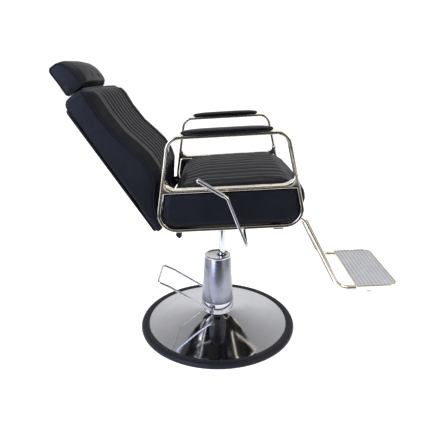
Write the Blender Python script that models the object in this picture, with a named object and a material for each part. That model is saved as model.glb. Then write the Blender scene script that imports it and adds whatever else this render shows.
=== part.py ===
"""Styling chair: round pump base, reclining back, bent arm frames and a tubular footrest.

The sitter faces +X, +Z is up, and the origin is the centre of the base on the floor.
The upper chair is drawn in its own frame, which leans back a few degrees on the ram.
"""
import math

import bmesh
import bpy
from mathutils import Matrix, Vector

GAP = 0.0003

# Base, standing on the floor
BASE_RADIUS = 0.300
RING_WIDTH = 0.031
RING_HEIGHT = 0.018
PLATE_THICKNESS = 0.008
DISH_THICKNESS = 0.0015
DISH_TOP = 0.066

# Pump
COLLAR_RADIUS = 0.0625
COLLAR_WALL = 0.006
COLLAR_TOP = 0.109
COVER_TOP = 0.286
COVER_FOOT_RADIUS = 0.0595
COVER_HEAD_RADIUS = 0.0505
COVER_WALL = 0.0015
CAP_HEIGHT = 0.006
RAM_OFFSET = 0.0155
RAM_RADIUS = 0.0125
RAM_FOOT = 0.170
CYLINDER_WALL = 0.013
CYLINDER_FLOOR = 0.028

# Foot pedal
PEDAL_X = -0.022
PEDAL_Z = 0.092
PEDAL_SHAFT_RADIUS = 0.005
PEDAL_ROD_RADIUS = 0.0045
PEDAL_HALF_WIDTH = 0.075
PEDAL_REACH = 0.198
PEDAL_RISE = 0.124
CAM_REACH = 0.015
PLUNGER_RADIUS = 0.005
PLUNGER_TOP = 0.0835

# Seat frame: its origin is on the ram's axis, and it leans back
SEAT_Z = 0.475
RAM_TOP = SEAT_Z - 0.007
SEAT_LEAN = math.radians(3.2)
SEAT_PLATE_BOTTOM = 0.0142
SEAT_PLATE_THICKNESS = 0.006
SEAT_PLATE_LENGTH = 0.180
SEAT_PLATE_WIDTH = 0.200
HUB_RADIUS = 0.026
HUB_DROP = 0.045
RAIL_OFFSET = 0.075
RAIL_WIDTH = 0.025
RAIL_HEIGHT = 0.0185
BOARD_THICKNESS = 0.016
BOARD_REAR = -0.150
BOARD_FRONT = 0.224
BOARD_SIDE_GAP = 0.0085
CUSHION_TOP = 0.157
CUSHION_SIDE_GAP = 0.0185
CUSHION_FRONT = BOARD_FRONT + 0.046
RAIL_END_GAP = 0.010
CUSHION_EDGE = 0.004

# Side frames, bent flat bar
OUTER_WIDTH = 0.597
BAR_DEPTH = 0.030
BAR_FACE = 0.0095
FRAME_BOTTOM = 0.0203
FRAME_TOP = 0.306
REAR_FOOT = -0.2004
REAR_HEAD = -0.1413
FRONT_FOOT = 0.2560
FRONT_HEAD = 0.2030
CROSSBAR_LOW = 0.1400
CROSSBAR_HIGH = 0.1505
FOOT_RADIUS = 0.055
HEAD_RADIUS = 0.045
WINDOW_RADIUS = 0.028
PANEL_CLEARANCE = 0.0006
PANEL_RECESS = 0.004
PANEL_BEHIND = 0.008
PAD_REAR = -0.102
PAD_FRONT = 0.160
PAD_WIDTH = 0.046
PAD_THICKNESS = 0.017
PAD_EDGE = 0.0028
BAR_EDGE = 0.0015

# Cross members under the seat
CROSS_TUBE_RADIUS = 0.0096
CROSS_TUBE_U = -0.130
STRAP_U = 0.170
STRAP_WIDTH = 0.030
STRAP_THICKNESS = 0.005

# Back, drawn on its own pivot: +Z up along the back, +X out of its front
PIVOT_U = -0.180
PIVOT_W = 0.070
BACK_LEAN = math.radians(30.0)
BACK_BEHIND = 0.0700
BACK_BELOW = 0.0590
BACK_LENGTH = 0.494
BACK_HALF_WIDTH = 0.215
LUMBAR_DEPTH = 0.118
PANEL_THICKNESS = 0.005
CHANNEL_DEPTH = 0.0145
BACK_BOARD_THICKNESS = 0.012
EAR_Y = 0.190
EAR_THICKNESS = 0.005
EAR_RADIUS = 0.014
EAR_SLOT = 0.0015
PIN_RADIUS = 0.005
BRACKET_THICKNESS = 0.005
BRACKET_CLEARANCE = 0.001

# Headrest
HEAD_GAP = 0.008
HEAD_HEIGHT = 0.103
HEAD_DEPTH = 0.086
HEAD_HALF_WIDTH = 0.135
POST_OFFSET = 0.060
POST_WIDTH = 0.020
POST_THICKNESS = 0.005
POST_DROP = 0.200

# Recline lever and lock strut
LEVER_U = 0.072
LEVER_W = -0.0215
LEVER_RADIUS = 0.0048
LEVER_Y = -OUTER_WIDTH / 2 - 0.0365
GRIP_LENGTH = 0.085
GRIP_RADIUS = 0.0068
STRUT_Y = 0.055
STRUT_FRONT_U = 0.052
STRUT_FRONT_W = -0.021
STRUT_RADIUS = 0.010
STRUT_ROD_RADIUS = 0.004
STRUT_PIN_RADIUS = 0.004
LUG_BEHIND = 0.0265
LUG_BELOW = 0.0956

# Footrest
FOOT_TUBE_RADIUS = 0.0095
FOOT_TUBE_Y = 0.150
FOOT_TUBE_W = 0.0050
FOOT_CROSS_U = 0.112
FOOT_KNEE_U = 0.268
FOOT_DROP = 0.2735
FOOT_FORWARD = 0.1270
TREAD_LENGTH = 0.148
TREAD_HALF_WIDTH = 0.160
TREAD_REAR = 0.452
RIM_HEIGHT = 0.020
RIM_WALL = 0.004
RIB_COUNT = 10
RIB_HEIGHT = 0.003
BUMPER_RADIUS = 0.0125
BUMPER_HEIGHT = 0.015
BUMPER_U = TREAD_REAR + 0.052
TREAD_CORNER = 0.030
TREAD_THICKNESS = 0.003

for old in list(bpy.data.objects):
    bpy.data.objects.remove(old, do_unlink=True)

chair = bpy.data.collections.new("styling_chair")
cutters = bpy.data.collections.new("cutters")
bpy.context.scene.collection.children.link(chair)
bpy.context.scene.collection.children.link(cutters)


def material(name, colour, roughness, metallic):
    """A finish with its own Principled shader."""
    made = bpy.data.materials.new(name)
    made.use_nodes = True
    shader = made.node_tree.nodes["Principled BSDF"]
    shader.inputs["Base Color"].default_value = (*colour, 1.0)
    shader.inputs["Roughness"].default_value = roughness
    shader.inputs["Metallic"].default_value = metallic
    return made


FINISHES = {
    "chrome": ((0.80, 0.79, 0.76), 0.08, 1.0),
    "leather": ((0.020, 0.021, 0.025), 0.42, 0.0),
    "cover_grey": ((0.42, 0.43, 0.46), 0.30, 1.0),
    "rubber": ((0.030, 0.031, 0.036), 0.60, 0.0),
    "black_plastic": ((0.012, 0.012, 0.014), 0.22, 0.0),
    "steel": ((0.35, 0.35, 0.36), 0.40, 1.0),
    "black_steel": ((0.020, 0.020, 0.022), 0.45, 0.3),
    "plywood": ((0.45, 0.30, 0.16), 0.70, 0.0),
    "aluminium": ((0.62, 0.62, 0.64), 0.35, 1.0),
}


def axis_empty(name, parent, matrix):
    """A joint's axis or a sub-frame that pieces are drawn on."""
    empty = bpy.data.objects.new(name, None)
    chair.objects.link(empty)
    empty.parent = parent
    empty.matrix_local = matrix
    return empty


def place(name, mesh, finish, parent):
    """Name a finished mesh, give it its own material and hang it on its frame."""
    piece = bpy.data.objects.new(name, mesh)
    piece.data.name = name
    chair.objects.link(piece)
    piece.parent = parent
    colour, roughness, metallic = FINISHES[finish]
    mesh.materials.clear()
    mesh.materials.append(material(name + "_" + finish, colour, roughness, metallic))
    mesh.shade_smooth()
    mesh.set_sharp_from_angle(angle=math.radians(35))
    return piece


def mesh_from(bm):
    """Close a bmesh into a mesh with its faces pointing out."""
    bmesh.ops.remove_doubles(bm, verts=bm.verts, dist=0.00001)
    bmesh.ops.recalc_face_normals(bm, faces=bm.faces)
    mesh = bpy.data.meshes.new("piece")
    bm.to_mesh(mesh)
    bm.free()
    return mesh


def joined(meshes):
    """Several separate solids in one mesh."""
    bm = bmesh.new()
    for mesh in meshes:
        bm.from_mesh(mesh)
    mesh = bpy.data.meshes.new("group")
    bm.to_mesh(mesh)
    bm.free()
    return mesh


def moved(mesh, matrix):
    """A copy of a mesh in another place."""
    copy = mesh.copy()
    copy.transform(matrix)
    if matrix.determinant() < 0:
        copy.flip_normals()
    return copy


def mirrored(mesh):
    """The same solid on the other side of the chair."""
    return moved(mesh, Matrix.Diagonal((1, -1, 1, 1)))


def box_mesh(low, high, edge=0.0):
    """A box between two corners, with its edges rounded off."""
    bm = bmesh.new()
    bmesh.ops.create_cube(bm, size=1.0)
    low = Vector(low)
    high = Vector(high)
    middle = Matrix.Translation((low + high) / 2)
    bm.transform(middle @ Matrix.Diagonal((*(high - low), 1.0)))
    if edge:
        bmesh.ops.bevel(bm, geom=bm.edges[:], offset=edge, segments=2, profile=0.5, affect="EDGES")
    return mesh_from(bm)


def turned_mesh(profile, steps=24, hollow=False):
    """A turned solid: (radius, height) points spun about Z."""
    bm = bmesh.new()
    verts = [bm.verts.new((radius, 0.0, height)) for radius, height in profile]
    edges = [bm.edges.new(pair) for pair in zip(verts, verts[1:])]
    if hollow:
        edges.append(bm.edges.new((verts[-1], verts[0])))
    bmesh.ops.spin(bm, geom=verts + edges, cent=(0, 0, 0), axis=(0, 0, 1),
                   angle=math.tau, steps=steps, use_merge=True)
    return mesh_from(bm)


def rod_mesh(start, end, radius, steps=20):
    """A straight round rod between two points."""
    start = Vector(start)
    end = Vector(end)
    length = (end - start).length
    body = turned_mesh([(0, length), (radius, length), (radius, 0), (0, 0)], steps)
    turn = (end - start).to_track_quat("Z", "Y").to_matrix().to_4x4()
    return moved(body, Matrix.Translation(start) @ turn)


def screw_mesh(head_radius, head_height):
    """The domed head of a screw, standing on Z = 0."""
    profile = [(0, head_height), (head_radius * 0.6, head_height), (head_radius, head_height * 0.4),
               (head_radius, 0), (0, 0)]
    return turned_mesh(profile, 12)


def rounded(corners, step=math.radians(15)):
    """Points of a closed outline whose corners (x, z, radius) are rounded by arcs."""
    points = []
    count = len(corners)
    for index, (x, z, radius) in enumerate(corners):
        here = Vector((x, z))
        back = (Vector(corners[index - 1][:2]) - here).normalized()
        ahead = (Vector(corners[(index + 1) % count][:2]) - here).normalized()
        if radius <= 0:
            points.append((x, z))
            continue
        half = back.angle(ahead) / 2
        centre = here + (back + ahead).normalized() * radius / math.sin(half)
        start = here + back * radius / math.tan(half) - centre
        end = here + ahead * radius / math.tan(half) - centre
        sweep = start.angle_signed(end)
        pieces = max(2, math.ceil(abs(sweep) / step))
        for i in range(pieces + 1):
            spoke = start.copy()
            spoke.rotate(Matrix.Rotation(-sweep * i / pieces, 2))
            points.append(tuple(centre + spoke))
    return points


def curve_mesh(curve, matrix):
    """A curve made into a welded mesh in its place."""
    holder = bpy.data.objects.new("curve", curve)
    chair.objects.link(holder)
    bpy.context.view_layer.update()
    graph = bpy.context.evaluated_depsgraph_get()
    raw = bpy.data.meshes.new_from_object(holder.evaluated_get(graph))
    bpy.data.objects.remove(holder)
    raw.transform(matrix)
    bm = bmesh.new()
    bm.from_mesh(raw)
    return mesh_from(bm)


def sheet_mesh(loops, low, high, edge=0.0):
    """A flat piece: outlines in the XZ plane, the first outside and the rest holes, thick along Y."""
    curve = bpy.data.curves.new("outline", "CURVE")
    curve.dimensions = "2D"
    curve.fill_mode = "BOTH"
    curve.extrude = (high - low) / 2 - edge
    curve.bevel_depth = edge
    curve.offset = -edge
    curve.bevel_resolution = 0
    for loop in loops:
        spline = curve.splines.new("POLY")
        spline.points.add(len(loop) - 1)
        for point, (x, z) in zip(spline.points, loop):
            point.co = (x, z, 0.0, 1.0)
        spline.use_cyclic_u = True
    stand = Matrix.Translation((0, (low + high) / 2, 0)) @ Matrix.Rotation(math.pi / 2, 4, "X")
    return curve_mesh(curve, stand)


def bent_path(corners, step=math.radians(12)):
    """Points along a bent rod whose corners (x, y, z, bend radius) are arcs."""
    points = [Vector(corners[0][:3])]
    for index in range(1, len(corners) - 1):
        here = Vector(corners[index][:3])
        radius = corners[index][3]
        back = (Vector(corners[index - 1][:3]) - here).normalized()
        ahead = (Vector(corners[index + 1][:3]) - here).normalized()
        half = back.angle(ahead) / 2
        centre = here + (back + ahead).normalized() * radius / math.sin(half)
        start = here + back * radius / math.tan(half) - centre
        end = here + ahead * radius / math.tan(half) - centre
        sweep = start.angle(end)
        pieces = max(2, math.ceil(sweep / step))
        for i in range(pieces + 1):
            points.append(centre + Matrix.Rotation(sweep * i / pieces, 3, start.cross(end)) @ start)
    points.append(Vector(corners[-1][:3]))
    return points


def tube_mesh(points, radius, sides=2):
    """A bent round rod through a list of points."""
    curve = bpy.data.curves.new("rod", "CURVE")
    curve.dimensions = "3D"
    curve.bevel_depth = radius
    curve.bevel_resolution = sides
    curve.use_fill_caps = True
    spline = curve.splines.new("POLY")
    spline.points.add(len(points) - 1)
    for point, place_at in zip(spline.points, points):
        point.co = (*place_at, 1.0)
    return curve_mesh(curve, Matrix.Identity(4))


def cut(piece, name, mesh):
    """Cut a shape out of a piece with a Boolean."""
    cutter = bpy.data.objects.new("cut_" + name, mesh)
    cutters.objects.link(cutter)
    cutter.parent = piece.parent
    cutter.hide_render = True
    cutter.display_type = "WIRE"
    step = piece.modifiers.new("cut_" + name, "BOOLEAN")
    step.operation = "DIFFERENCE"
    step.object = cutter


def weld(piece, name, mesh):
    """Join a shape to a piece as one solid."""
    other = bpy.data.objects.new("weld_" + name, mesh)
    cutters.objects.link(other)
    other.parent = piece.parent
    other.hide_render = True
    other.display_type = "WIRE"
    step = piece.modifiers.new("weld_" + name, "BOOLEAN")
    step.operation = "UNION"
    step.object = other


def bore(piece, name, start, end, radius, steps=20):
    """Drill a round hole through a piece."""
    cut(piece, name, rod_mesh(start, end, radius, steps))


world = axis_empty("chair_frame", None, Matrix.Identity(4))
ram_axis = axis_empty("ram_axis", world, Matrix.Translation((RAM_OFFSET, 0, 0)))
pedal_axis = axis_empty("pedal_axis", world, Matrix.Translation((PEDAL_X, 0, PEDAL_Z)))
seat = axis_empty("seat_frame", world, Matrix.Translation((RAM_OFFSET, 0, SEAT_Z))
                  @ Matrix.Rotation(-SEAT_LEAN, 4, "Y"))
back = axis_empty("back_pivot", seat, Matrix.Translation((PIVOT_U, 0, PIVOT_W))
                  @ Matrix.Rotation(-BACK_LEAN, 4, "Y"))
lever_axis = axis_empty("lever_axis", seat, Matrix.Translation((LEVER_U, 0, LEVER_W)))


def base():
    """Steel plate, pressed dish and rubber ring that the chair stands on."""
    inside = BASE_RADIUS - RING_WIDTH
    ring = turned_mesh([(inside + 0.004, RING_HEIGHT - 0.003), (inside + 0.010, RING_HEIGHT),
                        (BASE_RADIUS - 0.008, RING_HEIGHT - 0.003), (BASE_RADIUS - 0.001, 0.010),
                        (BASE_RADIUS, 0.004), (BASE_RADIUS - 0.002, 0.0), (inside, 0.0),
                        (inside, RING_HEIGHT - 0.006)], 48, hollow=True)
    place("base_trim_ring", ring, "rubber", world)
    plate_radius = inside - 0.004
    plate = turned_mesh([(0, PLATE_THICKNESS), (plate_radius - 0.002, PLATE_THICKNESS),
                         (plate_radius, PLATE_THICKNESS - 0.002), (plate_radius, 0.0), (0, 0)], 48)
    place("base_plate", plate, "black_steel", world)
    neck = COLLAR_RADIUS + GAP
    foot = inside - GAP
    rim = RING_HEIGHT - 0.001
    top_line = [(neck, DISH_TOP), (neck + 0.006, DISH_TOP - 0.003)]
    for share in (0.15, 0.35, 0.60, 0.80, 1.0):
        fall = 0.0045 + (DISH_TOP - 0.0045 - rim) * (1 - (1 - share) ** 1.12)
        top_line.append((neck + (foot - neck) * share, DISH_TOP - fall))
    low_line = [(radius, height - DISH_THICKNESS) for radius, height in reversed(top_line)]
    place("base_dish", turned_mesh(top_line + low_line, 48, hollow=True), "chrome", world)


def pump():
    """Collar, oil cylinder, tapered cover and cap; the ram stands off the cover's axis."""
    flange_low = PLATE_THICKNESS + GAP
    flange_high = flange_low + 0.010
    flange_radius = COLLAR_RADIUS + 0.018
    inner = COLLAR_RADIUS - COLLAR_WALL
    collar = turned_mesh([(inner, COLLAR_TOP), (COLLAR_RADIUS - 0.001, COLLAR_TOP),
                          (COLLAR_RADIUS, COLLAR_TOP - 0.001), (COLLAR_RADIUS, flange_high),
                          (flange_radius, flange_high), (flange_radius, flange_low),
                          (inner, flange_low)], 32, hollow=True)
    piece = place("pump_collar", collar, "chrome", world)
    for side in (-1, 1):
        bore(piece, f"shaft_hole_{side}", (PEDAL_X, side * inner * 0.6, PEDAL_Z),
             (PEDAL_X, side * flange_radius, PEDAL_Z), PEDAL_SHAFT_RADIUS + GAP, 16)
    heads = []
    for i in range(6):
        angle = math.tau * (i + 0.5) / 6
        at = Matrix.Translation((math.cos(angle) * (flange_radius - 0.008),
                                 math.sin(angle) * (flange_radius - 0.008), flange_high - GAP))
        heads.append(moved(screw_mesh(0.0055, 0.005), at))
    weld(piece, "flange_bolts", joined(heads))

    bore_radius = RAM_RADIUS + 0.0008
    body_radius = RAM_RADIUS + CYLINDER_WALL
    bush_radius = RAM_RADIUS + 0.006
    body_top = COVER_TOP - 0.012
    bush_low = body_top - 0.036
    cylinder = turned_mesh([(0, CYLINDER_FLOOR), (bore_radius, CYLINDER_FLOOR),
                            (bore_radius, bush_low - GAP), (bush_radius + GAP, bush_low - GAP),
                            (bush_radius + GAP, body_top), (body_radius, body_top),
                            (body_radius, flange_low), (0, flange_low)], 32)
    place("pump_cylinder", cylinder, "steel", ram_axis)
    bush = turned_mesh([(RAM_RADIUS + GAP, body_top), (bush_radius, body_top), (bush_radius, bush_low),
                        (RAM_RADIUS + GAP, bush_low)], 32, hollow=True)
    place("ram_bush", bush, "steel", ram_axis)
    cap_low = COVER_TOP + GAP
    wiper = turned_mesh([(RAM_RADIUS + GAP, cap_low + 0.004), (bush_radius - 0.003, cap_low + 0.002),
                         (bush_radius - 0.001, body_top + GAP), (RAM_RADIUS + GAP, body_top + GAP)],
                        32, hollow=True)
    place("ram_wiper", wiper, "rubber", ram_axis)

    cover_foot = COLLAR_TOP + GAP
    cover = turned_mesh([(COVER_HEAD_RADIUS - COVER_WALL, COVER_TOP), (COVER_HEAD_RADIUS, COVER_TOP),
                         (COVER_FOOT_RADIUS, cover_foot), (COVER_FOOT_RADIUS - COVER_WALL, cover_foot)],
                        48, hollow=True)
    place("pump_cover", cover, "cover_grey", world)
    recess = cap_low + CAP_HEIGHT * 0.55
    cap = turned_mesh([(0, recess), (COVER_HEAD_RADIUS - 0.012, recess),
                       (COVER_HEAD_RADIUS - 0.008, cap_low + CAP_HEIGHT),
                       (COVER_HEAD_RADIUS - 0.002, cap_low + CAP_HEIGHT - 0.001),
                       (COVER_HEAD_RADIUS, cap_low), (0, cap_low)], 48)
    piece = place("pump_cap", cap, "chrome", world)
    bore(piece, "ram_hole", (RAM_OFFSET, 0, cap_low - 0.01), (RAM_OFFSET, 0, cap_low + 0.02),
         bush_radius, 32)


def pedal():
    """U-shaped foot pedal on a cross shaft, whose cam presses the pump's spring-loaded plunger."""
    shaft_end = PEDAL_HALF_WIDTH - PEDAL_ROD_RADIUS - GAP
    shaft = rod_mesh((0, -shaft_end, 0), (0, shaft_end, 0), PEDAL_SHAFT_RADIUS)
    place("pedal_shaft", shaft, "steel", pedal_axis)
    slope = Vector((-PEDAL_REACH, 0, PEDAL_RISE))
    heel = slope * 0.78
    corners = [(0.006, PEDAL_HALF_WIDTH, -0.004, 0)]
    corners.append((heel.x, PEDAL_HALF_WIDTH, heel.z, 0.030))
    corners.append((-PEDAL_REACH, PEDAL_HALF_WIDTH, PEDAL_RISE - 0.006, 0.012))
    corners.append((-PEDAL_REACH, -PEDAL_HALF_WIDTH, PEDAL_RISE - 0.006, 0.012))
    corners.append((heel.x, -PEDAL_HALF_WIDTH, heel.z, 0.030))
    corners.append((0.006, -PEDAL_HALF_WIDTH, -0.004, 0))
    place("pedal_bar", tube_mesh(bent_path(corners), PEDAL_ROD_RADIUS), "chrome", pedal_axis)

    hub = PEDAL_SHAFT_RADIUS + 0.003
    cam = sheet_mesh([rounded([(hub, hub, 0.004), (hub, -hub, 0.004), (-CAM_REACH - 0.004, -hub, 0.003),
                               (-CAM_REACH - 0.004, -hub + 0.006, 0.002), (-0.004, hub, 0.004)])],
                     -0.006, 0.006)
    piece = place("pedal_cam", cam, "steel", pedal_axis)
    bore(piece, "shaft", (0, -0.02, 0), (0, 0.02, 0), PEDAL_SHAFT_RADIUS + GAP)

    plunger_x = PEDAL_X - CAM_REACH
    floor = PLATE_THICKNESS + GAP
    at = Matrix.Translation((plunger_x, 0, 0))
    head = PLUNGER_RADIUS + 0.0025
    stem_foot = PLUNGER_TOP - 0.040
    plunger = turned_mesh([(0, PLUNGER_TOP), (head, PLUNGER_TOP), (head, PLUNGER_TOP - 0.003),
                           (PLUNGER_RADIUS, PLUNGER_TOP - 0.003), (PLUNGER_RADIUS, stem_foot),
                           (0, stem_foot)], 16)
    place("pump_plunger", moved(plunger, at), "steel", world)
    block_top = PLUNGER_TOP - 0.018
    block = turned_mesh([(0, stem_foot - 0.012), (PLUNGER_RADIUS + GAP, stem_foot - 0.012),
                         (PLUNGER_RADIUS + GAP, block_top), (head + 0.002, block_top),
                         (head + 0.002, floor), (0, floor)], 16)
    place("plunger_block", moved(block, at), "steel", world)
    turns = 4
    per_turn = 8
    low = block_top + 0.0012
    rise = PLUNGER_TOP - 0.003 - 0.0012 - low
    wire = PLUNGER_RADIUS + 0.0015
    coil = []
    for i in range(turns * per_turn + 1):
        angle = math.tau * i / per_turn
        coil.append(Vector((plunger_x + wire * math.cos(angle), wire * math.sin(angle),
                            low + rise * i / (turns * per_turn))))
    place("plunger_spring", tube_mesh(coil, 0.0008, 1), "steel", world)


def column():
    """Polished ram that lifts the seat, and the tapered hub that turns on its top."""
    ram = turned_mesh([(0, RAM_TOP), (RAM_RADIUS - 0.001, RAM_TOP), (RAM_RADIUS, RAM_TOP - 0.001),
                       (RAM_RADIUS, RAM_FOOT), (0, RAM_FOOT)], 32)
    place("ram", ram, "chrome", ram_axis)
    socket = RAM_RADIUS + GAP
    low = SEAT_Z - HUB_DROP
    hub = turned_mesh([(0, SEAT_Z + 0.030), (HUB_RADIUS + 0.004, SEAT_Z + 0.030), (HUB_RADIUS, low + 0.020),
                       (HUB_RADIUS - 0.006, low), (socket, low), (socket, RAM_TOP + GAP),
                       (0, RAM_TOP + GAP)], 32)
    piece = place("swivel_hub", hub, "black_steel", ram_axis)
    slab = box_mesh((-0.1, -0.1, SEAT_PLATE_BOTTOM - GAP), (0.1, 0.1, 0.15))
    slab.transform(Matrix.Translation((0, 0, SEAT_Z)) @ Matrix.Rotation(-SEAT_LEAN, 4, "Y"))
    cut(piece, "hub_top", slab)


def seat_metal():
    """Mount plate, rails and cross members that carry the seat on the hub."""
    half_length = SEAT_PLATE_LENGTH / 2
    half_width = SEAT_PLATE_WIDTH / 2
    plate_top = SEAT_PLATE_BOTTOM + SEAT_PLATE_THICKNESS
    plate = box_mesh((-half_length, -half_width, SEAT_PLATE_BOTTOM),
                     (half_length, half_width, plate_top), 0.001)
    piece = place("mount_plate", plate, "black_steel", seat)
    upside_down = Matrix.Rotation(math.pi, 4, "X")
    heads = []
    for u in (-1, 1):
        for v in (-1, 1):
            at = Matrix.Translation((u * (half_length - 0.018), v * (half_width - 0.014),
                                     SEAT_PLATE_BOTTOM + GAP))
            heads.append(moved(screw_mesh(0.008, 0.0055), at @ upside_down))
    weld(piece, "plate_bolts", joined(heads))

    rail_low = plate_top + GAP
    rail = box_mesh((BOARD_REAR + RAIL_END_GAP, RAIL_OFFSET - RAIL_WIDTH / 2, rail_low),
                    (BOARD_FRONT - RAIL_END_GAP, RAIL_OFFSET + RAIL_WIDTH / 2, rail_low + RAIL_HEIGHT),
                    0.001)
    place("seat_rail_left", rail, "black_steel", seat)
    place("seat_rail_right", mirrored(rail), "black_steel", seat)

    side = OUTER_WIDTH / 2
    middle = side - BAR_DEPTH / 2
    tube_w = FRAME_BOTTOM - GAP - CROSS_TUBE_RADIUS
    tube = rod_mesh((CROSS_TUBE_U, -middle - 0.006, tube_w), (CROSS_TUBE_U, middle + 0.006, tube_w),
                    CROSS_TUBE_RADIUS)
    place("rear_cross_tube", tube, "chrome", seat)
    strap_top = FRAME_BOTTOM - GAP
    strap = box_mesh((STRAP_U - STRAP_WIDTH / 2, -middle - 0.010, strap_top - STRAP_THICKNESS),
                     (STRAP_U + STRAP_WIDTH / 2, middle + 0.010, strap_top), 0.001)
    place("front_cross_strap", strap, "black_steel", seat)
    for v, name in ((-1, "right"), (1, "left")):
        at = Matrix.Translation((CROSS_TUBE_U, v * (middle - 0.002), tube_w - CROSS_TUBE_RADIUS - GAP))
        place("frame_bolt_" + name, moved(screw_mesh(0.0065, 0.0035), at @ upside_down), "chrome", seat)


def rear_edge(w):
    """How far forward the frame's rear edge is at a height."""
    return REAR_FOOT + (REAR_HEAD - REAR_FOOT) * (w - FRAME_BOTTOM) / (FRAME_TOP - FRAME_BOTTOM)


def front_edge(w):
    """How far forward the frame's front edge is at a height."""
    return FRONT_FOOT + (FRONT_HEAD - FRONT_FOOT) * (w - FRAME_BOTTOM) / (FRAME_TOP - FRAME_BOTTOM)


def lower_window(inset):
    """Outline of the frame's lower window, drawn in by an inset."""
    low = FRAME_BOTTOM + BAR_FACE + inset
    high = CROSSBAR_LOW - inset
    corner = FOOT_RADIUS - BAR_FACE - inset
    bar = BAR_FACE + inset
    return rounded([(rear_edge(low) + bar, low, corner), (rear_edge(high) + bar, high, 0.003),
                    (front_edge(high) - bar, high, 0.003), (front_edge(low) - bar, low, corner)])


def side_frames():
    """Arm frame of bent flat bar with an open upper window and a lower one filled by a padded panel."""
    outer = rounded([(rear_edge(FRAME_BOTTOM), FRAME_BOTTOM, FOOT_RADIUS),
                     (rear_edge(FRAME_TOP), FRAME_TOP, HEAD_RADIUS),
                     (front_edge(FRAME_TOP), FRAME_TOP, HEAD_RADIUS),
                     (front_edge(FRAME_BOTTOM), FRAME_BOTTOM, FOOT_RADIUS)])
    high = FRAME_TOP - BAR_FACE
    low = CROSSBAR_HIGH
    upper = rounded([(rear_edge(low) + BAR_FACE, low, WINDOW_RADIUS),
                     (rear_edge(high) + BAR_FACE, high, HEAD_RADIUS - BAR_FACE),
                     (front_edge(high) - BAR_FACE, high, HEAD_RADIUS - BAR_FACE),
                     (front_edge(low) - BAR_FACE, low, WINDOW_RADIUS)])
    side = OUTER_WIDTH / 2
    frame = sheet_mesh([outer, upper, lower_window(0.0)], -side, BAR_DEPTH - side, BAR_EDGE)
    place("side_frame_right", frame, "chrome", seat)
    place("side_frame_left", mirrored(frame), "chrome", seat)
    panel = sheet_mesh([lower_window(PANEL_CLEARANCE)], PANEL_RECESS - side,
                       PANEL_BEHIND + BAR_DEPTH - side, 0.001)
    place("seat_side_panel_right", panel, "leather", seat)
    place("seat_side_panel_left", mirrored(panel), "leather", seat)

    middle = side - BAR_DEPTH / 2
    bottom = FRAME_TOP + GAP
    top = bottom + PAD_THICKNESS
    pad = sheet_mesh([rounded([(PAD_REAR, bottom, 0.003), (PAD_REAR, top, 0.010),
                               (PAD_FRONT, top, 0.010), (PAD_FRONT, bottom, 0.003)])],
                     -middle - PAD_WIDTH / 2, -middle + PAD_WIDTH / 2, PAD_EDGE)
    place("arm_pad_right", pad, "black_plastic", seat)
    place("arm_pad_left", mirrored(pad), "black_plastic", seat)


def seat_soft():
    """Plywood seat board with the cushion wrapped over its front edge."""
    board_low = SEAT_PLATE_BOTTOM + SEAT_PLATE_THICKNESS + GAP + RAIL_HEIGHT + GAP
    board_top = board_low + BOARD_THICKNESS
    half = OUTER_WIDTH / 2 - BAR_DEPTH - BOARD_SIDE_GAP
    board = box_mesh((BOARD_REAR, -half, board_low), (BOARD_FRONT, half, board_top), 0.001)
    place("seat_board", board, "plywood", seat)
    bottom = board_top + GAP
    front = BOARD_FRONT + GAP
    outline = rounded([(BOARD_REAR, bottom, 0.004), (BOARD_REAR + 0.004, CUSHION_TOP - 0.006, 0.028),
                       (BOARD_REAR + 0.120, CUSHION_TOP - 0.002, 0.200),
                       (BOARD_FRONT - 0.020, CUSHION_TOP, 0.060),
                       (CUSHION_FRONT - 0.004, CUSHION_TOP - 0.030, 0.030),
                       (CUSHION_FRONT, CUSHION_TOP - 0.075, 0.020),
                       (CUSHION_FRONT - 0.030, board_low, 0.008), (front, board_low, 0),
                       (front, bottom, 0)])
    wide = OUTER_WIDTH / 2 - BAR_DEPTH - CUSHION_SIDE_GAP
    cushion = sheet_mesh([outline], -wide, wide, CUSHION_EDGE)
    place("seat_cushion", cushion, "leather", seat)


def bracket_mesh(y_low, y_high):
    """Plate from the rear cross tube up to the back's pivot."""
    tube_w = FRAME_BOTTOM - GAP - CROSS_TUBE_RADIUS
    board_low = SEAT_PLATE_BOTTOM + SEAT_PLATE_THICKNESS + GAP + RAIL_HEIGHT + GAP
    top = board_low - 0.001
    return sheet_mesh([rounded([(PIVOT_U - 0.012, PIVOT_W + 0.012, 0.011),
                                (PIVOT_U + 0.013, PIVOT_W + 0.012, 0.011),
                                (BOARD_REAR - 0.010, top, 0.006), (CROSS_TUBE_U + 0.060, top, 0.004),
                                (CROSS_TUBE_U + 0.060, top - 0.016, 0.004),
                                (CROSS_TUBE_U + 0.016, tube_w - 0.014, 0.010),
                                (CROSS_TUBE_U - 0.030, tube_w - 0.010, 0.010),
                                (PIVOT_U + 0.002, PIVOT_W - 0.020, 0.012)])], y_low, y_high)


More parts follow.
